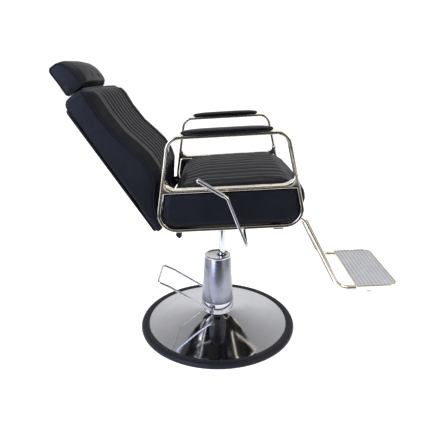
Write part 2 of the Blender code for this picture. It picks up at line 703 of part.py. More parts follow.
def recline_pivots():
    """Brackets and pins that the back swings on."""
    tube_w = FRAME_BOTTOM - GAP - CROSS_TUBE_RADIUS
    inner = EAR_Y + EAR_THICKNESS / 2 + BRACKET_CLEARANCE
    for side, name in ((-1, "right"), (1, "left")):
        low, high = sorted((side * inner, side * (inner + BRACKET_THICKNESS)))
        piece = place("pivot_bracket_" + name, bracket_mesh(low, high), "black_steel", seat)
        bore(piece, "tube_" + name, (CROSS_TUBE_U, low - 0.01, tube_w),
             (CROSS_TUBE_U, high + 0.01, tube_w), CROSS_TUBE_RADIUS + GAP)
        bore(piece, "pin_" + name, (PIVOT_U, low - 0.01, PIVOT_W), (PIVOT_U, high + 0.01, PIVOT_W),
             PIN_RADIUS + GAP, 16)
    length = EAR_THICKNESS + BRACKET_CLEARANCE + BRACKET_THICKNESS + 2 * GAP
    pin = turned_mesh([(0, 0.004), (PIN_RADIUS + 0.003, 0.004), (PIN_RADIUS + 0.003, 0),
                       (PIN_RADIUS, 0), (PIN_RADIUS, -length), (0, -length)], 16)
    outside = inner + BRACKET_THICKNESS + GAP
    for side, name in ((-1, "right"), (1, "left")):
        turn = Matrix.Rotation(-side * math.pi / 2, 4, "X")
        at = Matrix.Translation((PIVOT_U, side * outside, PIVOT_W))
        place("pivot_pin_" + name, moved(pin, at @ turn), "steel", seat)


def back_profile():
    """Front face of the back: (height, thickness) pairs from its lower end up."""
    stations = [(0.0, 0.030), (0.11, 0.036), (0.21, 0.064), (0.30, 0.102), (0.40, LUMBAR_DEPTH),
                (0.52, LUMBAR_DEPTH - 0.006), (0.65, 0.094), (0.81, 0.088), (0.92, 0.090)]
    return [(BACK_LENGTH * share, depth) for share, depth in stations]


def back_parts():
    """Boarded back with a channelled cushion, a closing panel and the ears that it swings on."""
    rear = -BACK_BEHIND
    low = -BACK_BELOW
    high = low + BACK_LENGTH
    half = BACK_HALF_WIDTH
    panel = box_mesh((rear, -half, low), (rear + PANEL_THICKNESS, half, high - 0.012), 0.001)
    place("back_rear_panel", panel, "leather", back)
    board_rear = rear + PANEL_THICKNESS + CHANNEL_DEPTH
    board_front = board_rear + BACK_BOARD_THICKNESS
    board = box_mesh((board_rear, -half + 0.004, low + 0.004),
                     (board_front, half - 0.004, high - 0.012), 0.001)
    place("back_board", board, "plywood", back)

    face = board_front + GAP
    front = [(rear + depth, low + height) for height, depth in back_profile()]
    corners = [(face, high - 0.003, 0.006), (rear + 0.086, high, 0.020)]
    corners += [(x, z, 0.040) for x, z in reversed(front[2:])]
    corners += [(*front[1], 0.020), (rear + 0.0345, low + 0.006, 0), (face, low + 0.004, 0)]
    cushion = sheet_mesh([rounded(corners)], -half, half, CUSHION_EDGE)
    piece = place("back_cushion", cushion, "leather", back)

    ear_low = EAR_Y - EAR_THICKNESS / 2
    ear_high = EAR_Y + EAR_THICKNESS / 2
    foot_front = face + 0.004
    ear = sheet_mesh([rounded([(face, -0.026, 0), (face, 0.100, 0.002), (foot_front, 0.100, 0.002),
                               (foot_front + 0.004, 0.040, 0.020), (0.002, EAR_RADIUS, 0.010),
                               (EAR_RADIUS, EAR_RADIUS, 0.011), (EAR_RADIUS, -EAR_RADIUS, 0.011),
                               (-0.004, -EAR_RADIUS, 0.010), (foot_front, -0.026, 0.002)])],
                     ear_low, ear_high)
    for side, name in ((-1, "right"), (1, "left")):
        arm = ear if side > 0 else mirrored(ear)
        arm_piece = place("hinge_arm_" + name, arm, "black_steel", back)
        bore(arm_piece, "hinge_" + name, (0, side * (ear_low - 0.01), 0),
             (0, side * (ear_high + 0.01), 0), PIN_RADIUS + GAP, 16)
        near, far = sorted((side * (ear_low - EAR_SLOT), side * (ear_high + EAR_SLOT)))
        cut(piece, "ear_slot_" + name,
            box_mesh((face - 0.01, near, -0.028), (EAR_RADIUS + 0.03, far, 0.104)))

    lug_low = STRUT_Y - 0.0185
    lug_high = STRUT_Y - 0.0135
    lug_outline = rounded([(-LUG_BEHIND - 0.012, -LUG_BELOW - 0.010, 0.009),
                           (-LUG_BEHIND + 0.010, -LUG_BELOW - 0.010, 0.009),
                           (-LUG_BEHIND + 0.010, low - 0.004, 0.002),
                           (board_front - 0.001, low + 0.001, 0), (board_rear + 0.001, low + 0.001, 0)])
    lugs = []
    for y in (lug_low, lug_low + 0.0320):
        lugs.append(sheet_mesh([lug_outline], y, y + lug_high - lug_low))
    bar = box_mesh((board_rear + 0.0005, STRUT_Y - 0.040, low - 0.001),
                   (board_front, STRUT_Y + 0.040, low + 0.003))
    lug_piece = place("back_strut_lug", bar, "black_steel", back)
    weld(lug_piece, "lug_plates", joined(lugs))

    guide_x = rear + PANEL_THICKNESS + CHANNEL_DEPTH / 2
    reach = POST_OFFSET + POST_WIDTH / 2 + 0.003
    guide = box_mesh((guide_x - CHANNEL_DEPTH / 2 + 0.001, -reach, high - 0.120),
                     (guide_x + CHANNEL_DEPTH / 2 - 0.001, reach, high - 0.013), 0.001)
    guide_piece = place("post_guide", guide, "black_plastic", back)
    for side, name in ((-1, "right"), (1, "left")):
        y = side * POST_OFFSET
        cut(guide_piece, "post_" + name,
            box_mesh((guide_x - POST_THICKNESS / 2 - 0.0005, y - POST_WIDTH / 2 - 0.0005, high - 0.2),
                     (guide_x + POST_THICKNESS / 2 + 0.0005, y + POST_WIDTH / 2 + 0.0005, high + 0.05)))


def headrest():
    """Boxed headrest on two flat posts that slide in the back."""
    rear = -BACK_BEHIND
    top = -BACK_BELOW + BACK_LENGTH
    low = top + HEAD_GAP
    high = low + HEAD_HEIGHT
    guide_x = rear + PANEL_THICKNESS + CHANNEL_DEPTH / 2
    board_front = guide_x + POST_THICKNESS / 2 + GAP + 0.010
    posts = []
    for side in (-1, 1):
        y = side * POST_OFFSET
        posts.append(box_mesh((guide_x - POST_THICKNESS / 2, y - POST_WIDTH / 2, top - POST_DROP),
                              (guide_x + POST_THICKNESS / 2, y + POST_WIDTH / 2, high - 0.020), 0.0008))
    reach = POST_OFFSET + POST_WIDTH / 2 + 0.004
    bar = box_mesh((guide_x - POST_THICKNESS / 2 + 0.0002, -reach, high - 0.045),
                   (guide_x + POST_THICKNESS / 2 - 0.0002, reach, high - 0.025))
    piece = place("headrest_posts", bar, "chrome", back)
    weld(piece, "posts", joined(posts))
    board = box_mesh((guide_x + POST_THICKNESS / 2 + GAP, -HEAD_HALF_WIDTH + 0.006, low + 0.004),
                     (board_front, HEAD_HALF_WIDTH - 0.006, high - 0.006), 0.001)
    place("headrest_board", board, "plywood", back)
    outline = rounded([(board_front + GAP, low + 0.001, 0.002), (board_front + GAP, high - 0.002, 0.004),
                       (rear + HEAD_DEPTH * 0.78, high, 0.020),
                       (rear + HEAD_DEPTH, low + HEAD_HEIGHT * 0.55, 0.030),
                       (rear + HEAD_DEPTH * 0.96, low, 0.016)])
    pad = sheet_mesh([outline], -HEAD_HALF_WIDTH, HEAD_HALF_WIDTH, CUSHION_EDGE)
    place("headrest_pad", pad, "leather", back)


def recline_lever():
    """Bent rod outside the right arm frame; its shaft runs under the seat to the lock's release."""
    shaft_end = STRUT_Y - 0.022
    corners = [(0, shaft_end, 0, 0), (0, LEVER_Y, 0, 0.014),
               (-0.0505, LEVER_Y, 0.1520, 0.022), (-0.1300, LEVER_Y, 0.2065, 0)]
    place("lever_rod", tube_mesh(bent_path(corners), LEVER_RADIUS), "chrome", lever_axis)
    bend = Vector(corners[2][:3])
    tip = Vector(corners[3][:3])
    along = (tip - bend).normalized()
    root = tip - along * GRIP_LENGTH
    length = GRIP_LENGTH + 0.004
    inside = LEVER_RADIUS + GAP
    profile = [(0, length), (GRIP_RADIUS - 0.002, length), (GRIP_RADIUS, length - 0.002)]
    ridges = 6
    for i in range(ridges, 0, -1):
        height = (length - 0.006) * i / ridges
        profile += [(GRIP_RADIUS, height), (GRIP_RADIUS - 0.0007, height - 0.006)]
    profile += [(GRIP_RADIUS, 0), (inside, 0), (inside, GRIP_LENGTH + GAP), (0, GRIP_LENGTH + GAP)]
    grip = turned_mesh(profile, 14)
    stand = Matrix.Translation(root) @ along.to_track_quat("Z", "Y").to_matrix().to_4x4()
    place("lever_grip", moved(grip, stand), "chrome", lever_axis)

    cam = sheet_mesh([rounded([(0.010, 0.010, 0.008), (0.010, -0.010, 0.008), (-0.020, -0.006, 0.003),
                               (-0.020, 0.006, 0.003)])], shaft_end - 0.008, shaft_end - 0.002)
    piece = place("release_cam", cam, "steel", lever_axis)
    bore(piece, "cam_bore", (0, shaft_end - 0.02, 0), (0, shaft_end + 0.01, 0), LEVER_RADIUS + GAP, 16)

    top = SEAT_PLATE_BOTTOM - GAP
    flange = box_mesh((STRUT_FRONT_U - 0.011, -0.078, top - 0.004), (LEVER_U + 0.011, STRUT_Y + 0.012, top))
    piece = place("under_bracket", flange, "black_steel", seat)
    plates = []
    for y in (-0.078, 0.010):
        outline = rounded([(LEVER_U - 0.011, LEVER_W - 0.011, 0.009), (LEVER_U - 0.011, top - 0.001, 0),
                           (LEVER_U + 0.010, top - 0.001, 0), (LEVER_U + 0.010, LEVER_W - 0.011, 0.009)])
        plates.append(sheet_mesh([outline], y + 0.0005, y + 0.0045))
    outline = rounded([(STRUT_FRONT_U - 0.010, STRUT_FRONT_W - 0.010, 0.008),
                       (STRUT_FRONT_U - 0.010, top - 0.001, 0),
                       (STRUT_FRONT_U + 0.010, top - 0.001, 0),
                       (STRUT_FRONT_U + 0.010, STRUT_FRONT_W - 0.010, 0.008)])
    for y in (STRUT_Y - 0.010, STRUT_Y + 0.006):
        plates.append(sheet_mesh([outline], y, y + 0.004))
    weld(piece, "plates", joined(plates))
    bore(piece, "lever_bore", (LEVER_U, -0.1, LEVER_W), (LEVER_U, 0.03, LEVER_W), LEVER_RADIUS + GAP, 16)
    bore(piece, "fork_pin", (STRUT_FRONT_U, STRUT_Y - 0.02, STRUT_FRONT_W),
         (STRUT_FRONT_U, STRUT_Y + 0.02, STRUT_FRONT_W), STRUT_PIN_RADIUS + GAP, 16)
    place("strut_front_pin", rod_mesh((STRUT_FRONT_U, STRUT_Y - 0.012, STRUT_FRONT_W),
                                      (STRUT_FRONT_U, STRUT_Y + 0.012, STRUT_FRONT_W),
                                      STRUT_PIN_RADIUS, 16), "steel", seat)


def lock_strut():
    """Locking strut between the seat and the back's lower end."""
    pin = Vector((STRUT_FRONT_U, 0, STRUT_FRONT_W))
    lug = Vector((-LUG_BEHIND, 0, -LUG_BELOW))
    lug.rotate(Matrix.Rotation(-BACK_LEAN, 3, "Y"))
    lug += Vector((PIVOT_U, 0, PIVOT_W))
    along = (lug - pin).normalized()
    reach = (lug - pin).length
    strut = axis_empty("strut_axis", seat, Matrix.Translation((pin.x, STRUT_Y, pin.z))
                       @ along.to_track_quat("X", "Z").to_matrix().to_4x4())
    pin_radius = STRUT_PIN_RADIUS
    eye = pin_radius + 0.005
    body_end = reach * 0.58
    barrel = turned_mesh([(0, 0.022 - body_end), (STRUT_ROD_RADIUS + GAP, 0.022 - body_end),
                          (STRUT_ROD_RADIUS + GAP, 0), (STRUT_RADIUS, 0), (STRUT_RADIUS, 0.014 - body_end),
                          (0, 0.014 - body_end)], 20)
    stand = Matrix.Translation((body_end, 0, 0)) @ Matrix.Rotation(math.pi / 2, 4, "Y")
    piece = place("lock_cylinder", moved(barrel, stand), "black_steel", strut)
    tang = sheet_mesh([rounded([(-eye, -eye, eye * 0.9), (-eye, eye, eye * 0.9), (0.016, eye, 0.001),
                                (0.016, -eye, 0.001)])], -0.004, 0.004)
    weld(piece, "front_tang", tang)
    bore(piece, "front_eye", (0, -0.02, 0), (0, 0.02, 0), pin_radius + GAP, 16)
    rod_start = 0.040
    rod_end = reach - 0.0125
    rod = rod_mesh((rod_start, 0, 0), (rod_end, 0, 0), STRUT_ROD_RADIUS, 16)
    piece = place("lock_rod", rod, "chrome", strut)
    loose = pin_radius + 0.0022
    tang = sheet_mesh([rounded([(reach - 0.0142, -0.010, 0.001), (reach - 0.0142, 0.010, 0.001),
                                (reach + 0.010, 0.010, 0.009), (reach + 0.010, -0.010, 0.009)])],
                      -0.004, 0.004)
    weld(piece, "rear_tang", tang)
    bore(piece, "rear_eye", (reach, -0.02, 0), (reach, 0.02, 0), loose, 16)

    rear_pin = rod_mesh((-LUG_BEHIND, STRUT_Y - 0.0205, -LUG_BELOW),
                        (-LUG_BEHIND, STRUT_Y + 0.0205, -LUG_BELOW), pin_radius, 16)
    place("strut_rear_pin", rear_pin, "steel", back)
    bore(bpy.data.objects["back_strut_lug"], "lug_pin", (-LUG_BEHIND, STRUT_Y - 0.03, -LUG_BELOW),
         (-LUG_BEHIND, STRUT_Y + 0.03, -LUG_BELOW), pin_radius + GAP, 16)


def footrest():
    """Two bent tubes from under the seat carry a ribbed tread in a rim."""
    low = FOOT_TUBE_W - FOOT_DROP
    foot_u = FOOT_KNEE_U + FOOT_FORWARD
    half_run = [(TREAD_REAR - GAP, FOOT_TUBE_Y, low, 0), (foot_u, FOOT_TUBE_Y, low, 0.055),
                (FOOT_KNEE_U, FOOT_TUBE_Y, FOOT_TUBE_W, 0.050),
                (FOOT_CROSS_U, FOOT_TUBE_Y, FOOT_TUBE_W, 0.030)]
    other_run = [(x, -y, z, radius) for x, y, z, radius in reversed(half_run)]
    tube = tube_mesh(bent_path(half_run + other_run), FOOT_TUBE_RADIUS)
    place("footrest_tube", tube, "chrome", seat)

    bar_top = FOOT_TUBE_W - FOOT_TUBE_RADIUS - GAP
    bar_u = FOOT_CROSS_U + FOOT_TUBE_RADIUS + 0.004
    reach = FOOT_TUBE_Y + 0.016
    bar = box_mesh((bar_u, -reach, bar_top - 0.005), (bar_u + 0.020, reach, bar_top), 0.001)
    piece = place("footrest_clamp", bar, "black_steel", seat)
    rail_low = SEAT_PLATE_BOTTOM + SEAT_PLATE_THICKNESS + GAP
    blocks = []
    for side in (-1, 1):
        near, far = sorted((side * (RAIL_OFFSET - 0.010), side * (RAIL_OFFSET + 0.010)))
        blocks.append(box_mesh((bar_u + 0.001, near, bar_top - 0.002),
                               (bar_u + 0.019, far, rail_low - GAP)))
    weld(piece, "blocks", joined(blocks))

    front = TREAD_REAR + TREAD_LENGTH
    half = TREAD_HALF_WIDTH
    rim_low = low - FOOT_TUBE_RADIUS
    rim_high = rim_low + RIM_HEIGHT

    def flat_loop(inset, radius):
        return rounded([(TREAD_REAR + inset, -half + inset, 0.004), (TREAD_REAR + inset, half - inset, 0.004),
                        (front - inset, half - inset, radius), (front - inset, -half + inset, radius)])

    rim = sheet_mesh([flat_loop(0, TREAD_CORNER), flat_loop(RIM_WALL, TREAD_CORNER - RIM_WALL)],
                     rim_low, rim_high, 0.0012)
    place("footrest_rim", moved(rim, lay_flat()), "chrome", seat)
    inset = RIM_WALL + GAP
    plate_top = rim_high - 0.004
    plate_low = plate_top - TREAD_THICKNESS
    start = TREAD_REAR + inset
    length = TREAD_LENGTH - 2 * inset
    pitch = length / RIB_COUNT
    section = [(start, plate_low), (start, plate_top)]
    for i in range(RIB_COUNT):
        left = start + pitch * (i + 0.22)
        right = start + pitch * (i + 0.78)
        section += [(left, plate_top), (left + 0.0012, plate_top + RIB_HEIGHT),
                    (right - 0.0012, plate_top + RIB_HEIGHT), (right, plate_top)]
    section += [(start + length, plate_top), (start + length, plate_low)]
    tread = sheet_mesh([section], -half + inset, half - inset)
    piece = place("footrest_tread", tread, "aluminium", seat)
    keep = sheet_mesh([flat_loop(-0.05, 0), flat_loop(inset, TREAD_CORNER - inset)],
                      rim_low - 0.01, rim_high + 0.01)
    cut(piece, "tread_corners", moved(keep, lay_flat()))

    bumper_low = rim_low - BUMPER_HEIGHT
    for side, name in ((-1, "right"), (1, "left")):
        body = turned_mesh([(0, plate_low - GAP), (BUMPER_RADIUS, plate_low - GAP),
                            (BUMPER_RADIUS, rim_low - 0.004), (BUMPER_RADIUS * 0.8, bumper_low),
                            (0, bumper_low)], 20)
        at = Matrix.Translation((BUMPER_U, side * (half - 0.030), 0))
        place("footrest_bumper_" + name, moved(body, at), "rubber", seat)


def lay_flat():
    """Lay a piece drawn standing in XZ down in XY, its thickness along Y turned to Z."""
    return Matrix.Rotation(math.pi / 2, 4, "X") @ Matrix.Diagonal((1, 1, -1, 1))


base()
pump()
pedal()
column()
seat_metal()
side_frames()
seat_soft()
recline_pivots()
back_parts()
headrest()
recline_lever()
lock_strut()
footrest()
bpy.context.view_layer.update()
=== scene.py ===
import math
import bpy
from mathutils import Matrix, Vector
from mathutils.bvhtree import BVHTree


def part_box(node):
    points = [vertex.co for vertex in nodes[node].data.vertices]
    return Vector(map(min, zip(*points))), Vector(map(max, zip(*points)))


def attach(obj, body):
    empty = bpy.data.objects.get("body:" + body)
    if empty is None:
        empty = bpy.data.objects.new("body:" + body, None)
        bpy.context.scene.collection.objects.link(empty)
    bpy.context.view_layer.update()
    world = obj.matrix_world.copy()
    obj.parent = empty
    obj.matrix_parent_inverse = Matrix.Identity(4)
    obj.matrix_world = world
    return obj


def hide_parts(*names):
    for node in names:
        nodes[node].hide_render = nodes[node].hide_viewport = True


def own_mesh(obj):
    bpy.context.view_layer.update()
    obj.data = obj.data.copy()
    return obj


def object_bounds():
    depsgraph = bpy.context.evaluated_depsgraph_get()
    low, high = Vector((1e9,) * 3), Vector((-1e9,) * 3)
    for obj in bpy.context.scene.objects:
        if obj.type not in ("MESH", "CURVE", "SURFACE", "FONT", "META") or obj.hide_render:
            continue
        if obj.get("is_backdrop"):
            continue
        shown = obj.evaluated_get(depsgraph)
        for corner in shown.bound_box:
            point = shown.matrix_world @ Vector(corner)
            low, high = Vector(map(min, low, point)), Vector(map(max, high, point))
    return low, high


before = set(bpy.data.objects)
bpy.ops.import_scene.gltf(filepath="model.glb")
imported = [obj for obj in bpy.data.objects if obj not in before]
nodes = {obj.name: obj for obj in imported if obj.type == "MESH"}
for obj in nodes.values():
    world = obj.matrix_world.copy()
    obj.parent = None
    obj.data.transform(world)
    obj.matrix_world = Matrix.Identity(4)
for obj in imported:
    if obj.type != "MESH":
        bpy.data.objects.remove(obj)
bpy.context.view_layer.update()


# ---- Trim ring ----
# The chair stands on a moulded rubber ring that hides the raw edge of the steel plate.
# Real ones are pressed from charcoal rubber and have a soft shoulder and a low sheen.

def linear(code, strength=1.0):
    """A linear colour from an sRGB hex code."""
    values = [int(code[i:i + 2], 16) / 255 for i in (1, 3, 5)]
    spread = [v / 12.92 if v <= 0.04045 else ((v + 0.055) / 1.055) ** 2.4 for v in values]
    return (*[v * strength for v in spread], 1.0)


def add(tree, kind, values, links=()):
    """Add a shader node, set its fields and sockets, and link other outputs into it."""
    made = tree.nodes.new("ShaderNode" + kind)
    for key, value in values.items():
        if isinstance(key, int) or key in made.inputs:
            made.inputs[key].default_value = value
        else:
            setattr(made, key, value)
    for key, source in dict(links).items():
        tree.links.new(source, made.inputs[key])
    return made


def new_material(name):
    """A material with its shader and the object's own coordinates in metres."""
    made = bpy.data.materials.new(name)
    made.use_nodes = True
    tree = made.node_tree
    place = add(tree, "TexCoord", {})
    return made, tree, tree.nodes["Principled BSDF"], place.outputs["Object"]


def lathe(profile, axis=(0, 0), segments=128):
    """A turned shape: a ring extruded from one (radius, height) to the next."""
    bpy.ops.object.select_all(action="DESELECT")
    (radius, height), *others = profile
    bpy.ops.mesh.primitive_circle_add(vertices=segments, radius=radius, location=(*axis, height))
    piece = bpy.context.object
    bpy.ops.object.mode_set(mode="EDIT")
    for next_radius, next_height in others:
        rise = (0, 0, next_height - height)
        grow = next_radius / radius
        bpy.ops.mesh.extrude_region_move(TRANSFORM_OT_translate={"value": rise})
        bpy.ops.transform.resize(value=(grow, grow, 1), center_override=(*axis, next_height))
        radius, height = next_radius, next_height
    bpy.ops.mesh.select_all(action="SELECT")
    bpy.ops.mesh.remove_doubles(threshold=0.00002)
    bpy.ops.mesh.fill_holes(sides=0)
    bpy.ops.mesh.select_all(action="SELECT")
    bpy.ops.mesh.normals_make_consistent(inside=False)
    bpy.ops.object.mode_set(mode="OBJECT")
    return piece


def apply(piece, kind, **values):
    """Put a modifier on a piece and apply it."""
    bpy.ops.object.select_all(action="DESELECT")
    piece.select_set(True)
    bpy.context.view_layer.objects.active = piece
    step = piece.modifiers.new(kind.lower(), kind)
    for key, value in values.items():
        setattr(step, key, value)
    bpy.ops.object.modifier_apply(modifier=step.name)


def fit(piece, name, body, material, stands_for=(), place=None, angle=35):
    """Name a finished piece, put its place into its mesh and fix it to its body."""
    bpy.ops.object.select_all(action="DESELECT")
    piece.select_set(True)
    bpy.context.view_layer.objects.active = piece
    bpy.ops.object.transform_apply()
    if place:
        piece.data.transform(place)
    bpy.ops.object.shade_smooth_by_angle(angle=math.radians(angle))
    piece.name = name
    piece.data.name = name
    piece.data.materials.clear()
    piece.data.materials.append(material)
    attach(piece, body)
    if stands_for:
        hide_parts(*stands_for)
    return piece


# Charcoal rubber: dark blue-grey and half matt, with a faint mottle and fine pores.
charcoal_rubber, tree, shader, here = new_material("charcoal_rubber")
mottle = add(tree, "TexNoise", {"Scale": 90.0, "Detail": 4.0}, {"Vector": here})
shade = add(tree, "ValToRGB", {}, {"Fac": mottle.outputs["Fac"]})
shade.color_ramp.elements[0].color = linear("#0d0e13")
shade.color_ramp.elements[1].color = linear("#1b1d26")
pores = add(tree, "TexNoise", {"Scale": 900.0, "Detail": 2.0}, {"Vector": here})
dents = add(tree, "Bump", {"Strength": 0.15, "Distance": 0.0003}, {"Height": pores.outputs["Fac"]})
matt = add(tree, "MapRange", {"To Min": 0.38, "To Max": 0.60}, {"Value": mottle.outputs["Fac"]})
tree.links.new(shade.outputs["Color"], shader.inputs["Base Color"])
shader.inputs["Specular IOR Level"].default_value = 0.2
tree.links.new(matt.outputs["Result"], shader.inputs["Roughness"])
tree.links.new(dents.outputs["Normal"], shader.inputs["Normal"])

ring_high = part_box("base_trim_ring")[1]
ring_radius = ring_high.x
ring_width = 0.031
ring_top = ring_high.z
ring_inside = ring_radius - ring_width
wide_segments = 160
shoulder_radius = 0.0125
shoulder_steps = 12
shoulder = []
for step in range(shoulder_steps + 1):
    turn = math.radians(90 * step / shoulder_steps)
    shoulder.append((ring_radius - shoulder_radius + shoulder_radius * math.sin(turn),
                     ring_top - shoulder_radius + shoulder_radius * math.cos(turn)))
ring = lathe([(ring_inside, 0.0008), (ring_inside, ring_top - 0.004),
              (ring_inside + 0.003, ring_top - 0.0012), (ring_inside + 0.007, ring_top - 0.0004),
              *shoulder, (ring_radius - 0.001, 0.0008), (ring_radius - 0.003, 0.0),
              (ring_inside + 0.002, 0.0), (ring_inside, 0.0008)], segments=wide_segments)
fit(ring, "trim_ring", "base", charcoal_rubber, ["base_trim_ring"])


# ---- Base plate and dish ----
# A pressed steel dish, chrome plated and polished to a mirror, covers the flat steel plate.
# It rises as a shallow cone from the ring to the pump's collar.

# Chrome plate: a slightly grey mirror, clouded by faint hand-wiped haze.
chrome, tree, shader, here = new_material("chrome_plate")
haze = add(tree, "TexNoise", {"Scale": 14.0, "Detail": 5.0, "Distortion": 1.2}, {"Vector": here})
shine = add(tree, "MapRange", {"From Min": 0.35, "From Max": 0.75, "To Min": 0.035, "To Max": 0.11},
            {"Value": haze.outputs["Fac"]})
tone = add(tree, "ValToRGB", {}, {"Fac": haze.outputs["Fac"]})
tone.color_ramp.elements[0].color = linear("#c6c6ca")
tone.color_ramp.elements[1].color = linear("#b4b5ba")
shader.inputs["Metallic"].default_value = 1.0
tree.links.new(tone.outputs["Color"], shader.inputs["Base Color"])
tree.links.new(shine.outputs["Result"], shader.inputs["Roughness"])

# Powder coat: matt black with a fine orange-peel surface.
powder_coat, tree, shader, here = new_material("black_powder_coat")
peel = add(tree, "TexNoise", {"Scale": 650.0, "Detail": 2.0}, {"Vector": here})
dust = add(tree, "TexNoise", {"Scale": 30.0, "Detail": 5.0}, {"Vector": here})
shade = add(tree, "ValToRGB", {}, {"Fac": dust.outputs["Fac"]})
shade.color_ramp.elements[0].color = linear("#0c0c0d")
shade.color_ramp.elements[1].color = linear("#18191b")
dents = add(tree, "Bump", {"Strength": 0.2, "Distance": 0.0002}, {"Height": peel.outputs["Fac"]})
tree.links.new(shade.outputs["Color"], shader.inputs["Base Color"])
tree.links.new(dents.outputs["Normal"], shader.inputs["Normal"])
shader.inputs["Roughness"].default_value = 0.48
shader.inputs["Specular IOR Level"].default_value = 0.2


def finish_cad(material, *names):
    """Give CAD pieces that keep their own shape their finish."""
    for name in names:
        piece = nodes[name]
        piece.data.materials.clear()
        piece.data.materials.append(material)


finish_cad(powder_coat, "base_plate")

dish_low, dish_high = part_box("base_dish")
neck = 0.0628
foot = dish_high.x
flare_height = 0.0045
flare_reach = 0.012
hollow = 1.12
sheet_thickness = 0.0015
dish_rise = dish_high.z - dish_low.z - flare_height
dish_steps = 40
dish_line = []
for step in range(dish_steps + 1):
    share = step / dish_steps
    radius = neck + (foot - neck) * share
    flare = flare_height * math.exp(-(radius - neck) / flare_reach)
    dish_line.append((radius, dish_low.z + dish_rise * (1 - share) ** hollow + flare))
under_line = [(radius, height - sheet_thickness) for radius, height in reversed(dish_line)]
dish = lathe([*dish_line, *under_line, dish_line[0]], segments=wide_segments)
fit(dish, "polished_dish", "base", chrome, ["base_dish"])


# ---- Pump ----
# A chromed collar is bolted to the plate. A satin steel cover stands on it, round the oil
# cylinder, with a chromed cap whose rim is turned up. The polished ram comes out off centre.

# Bare steel: turned, lightly oiled, with fine tool rings along each piece.
bare_steel, tree, shader, here = new_material("turned_steel")
rings = add(tree, "TexWave", {"bands_direction": "Z", "Scale": 400.0, "Distortion": 1.0}, {"Vector": here})
stain = add(tree, "TexNoise", {"Scale": 60.0, "Detail": 4.0}, {"Vector": here})
matt = add(tree, "MapRange", {"To Min": 0.28, "To Max": 0.46}, {"Value": stain.outputs["Fac"]})
lines = add(tree, "Bump", {"Strength": 0.08, "Distance": 0.0001}, {"Height": rings.outputs["Fac"]})
shader.inputs["Base Color"].default_value = linear("#9c9c9e")
shader.inputs["Metallic"].default_value = 1.0
tree.links.new(matt.outputs["Result"], shader.inputs["Roughness"])
tree.links.new(lines.outputs["Normal"], shader.inputs["Normal"])
finish_cad(bare_steel, "pump_cylinder", "ram_bush", "plunger_block", "pump_plunger")

# Satin steel: brushed round the cover, so its fine scratches run round it and blur what it mirrors.
satin_steel, tree, shader, here = new_material("satin_steel")
turn = add(tree, "Mapping", {"Scale": (6.0, 6.0, 900.0)}, {"Vector": here})
scratch = add(tree, "TexNoise", {"Scale": 3.0, "Detail": 6.0}, {"Vector": turn.outputs["Vector"]})
cloud = add(tree, "TexNoise", {"Scale": 24.0, "Detail": 4.0}, {"Vector": here})
matt = add(tree, "MapRange", {"To Min": 0.20, "To Max": 0.34}, {"Value": scratch.outputs["Fac"]})
shade = add(tree, "ValToRGB", {}, {"Fac": cloud.outputs["Fac"]})
shade.color_ramp.elements[0].color = linear("#7c7e88")
shade.color_ramp.elements[1].color = linear("#9a9ca8")
lines = add(tree, "Bump", {"Strength": 0.10, "Distance": 0.0001}, {"Height": scratch.outputs["Fac"]})
shader.inputs["Metallic"].default_value = 1.0
tree.links.new(shade.outputs["Color"], shader.inputs["Base Color"])
tree.links.new(matt.outputs["Result"], shader.inputs["Roughness"])
tree.links.new(lines.outputs["Normal"], shader.inputs["Normal"])

collar_low, collar_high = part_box("pump_collar")
collar = 0.0625
collar_bore = collar - 0.006
flange = collar_high.x
collar_top = collar_high.z
flange_top = collar_low.z + 0.010
collar_piece = lathe([(collar_bore, collar_low.z), (collar_bore, collar_top - 0.0006),
                      (collar - 0.0050, collar_top), (collar - 0.0012, collar_top),
                      (collar - 0.0003, collar_top - 0.0004), (collar, collar_top - 0.0015),
                      (collar, flange_top + 0.001), (collar + 0.001, flange_top),
                      (flange - 0.001, flange_top), (flange, flange_top - 0.001),
                      (flange, collar_low.z), (collar_bore, collar_low.z)])
shaft_low, shaft_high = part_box("pedal_shaft")
shaft_x = (shaft_low.x + shaft_high.x) / 2
shaft_z = (shaft_low.z + shaft_high.z) / 2
shaft_bore = 0.0072
for side in (-1, 1):
    bpy.ops.mesh.primitive_cylinder_add(vertices=32, radius=shaft_bore, depth=0.03,
                                        location=(shaft_x, side * collar, shaft_z),
                                        rotation=(math.pi / 2, 0, 0))
    drill = bpy.context.object
    apply(collar_piece, "BOOLEAN", operation="DIFFERENCE", object=drill)
    bpy.data.objects.remove(drill)
fit(collar_piece, "collar", "base", chrome, ["pump_collar"])

cover_low, cover_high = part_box("pump_cover")
cover_foot = cover_high.x
cover_head = 0.0505
cover = lathe([(cover_foot - 0.0015, cover_low.z), (cover_foot - 0.0004, cover_low.z),
               (cover_foot, cover_low.z + 0.0006), (cover_head, cover_high.z - 0.0010),
               (cover_head - 0.0005, cover_high.z), (cover_head - 0.0015, cover_high.z),
               (cover_foot - 0.0015, cover_low.z)])
fit(cover, "brushed_cover", "base", satin_steel, ["pump_cover"])

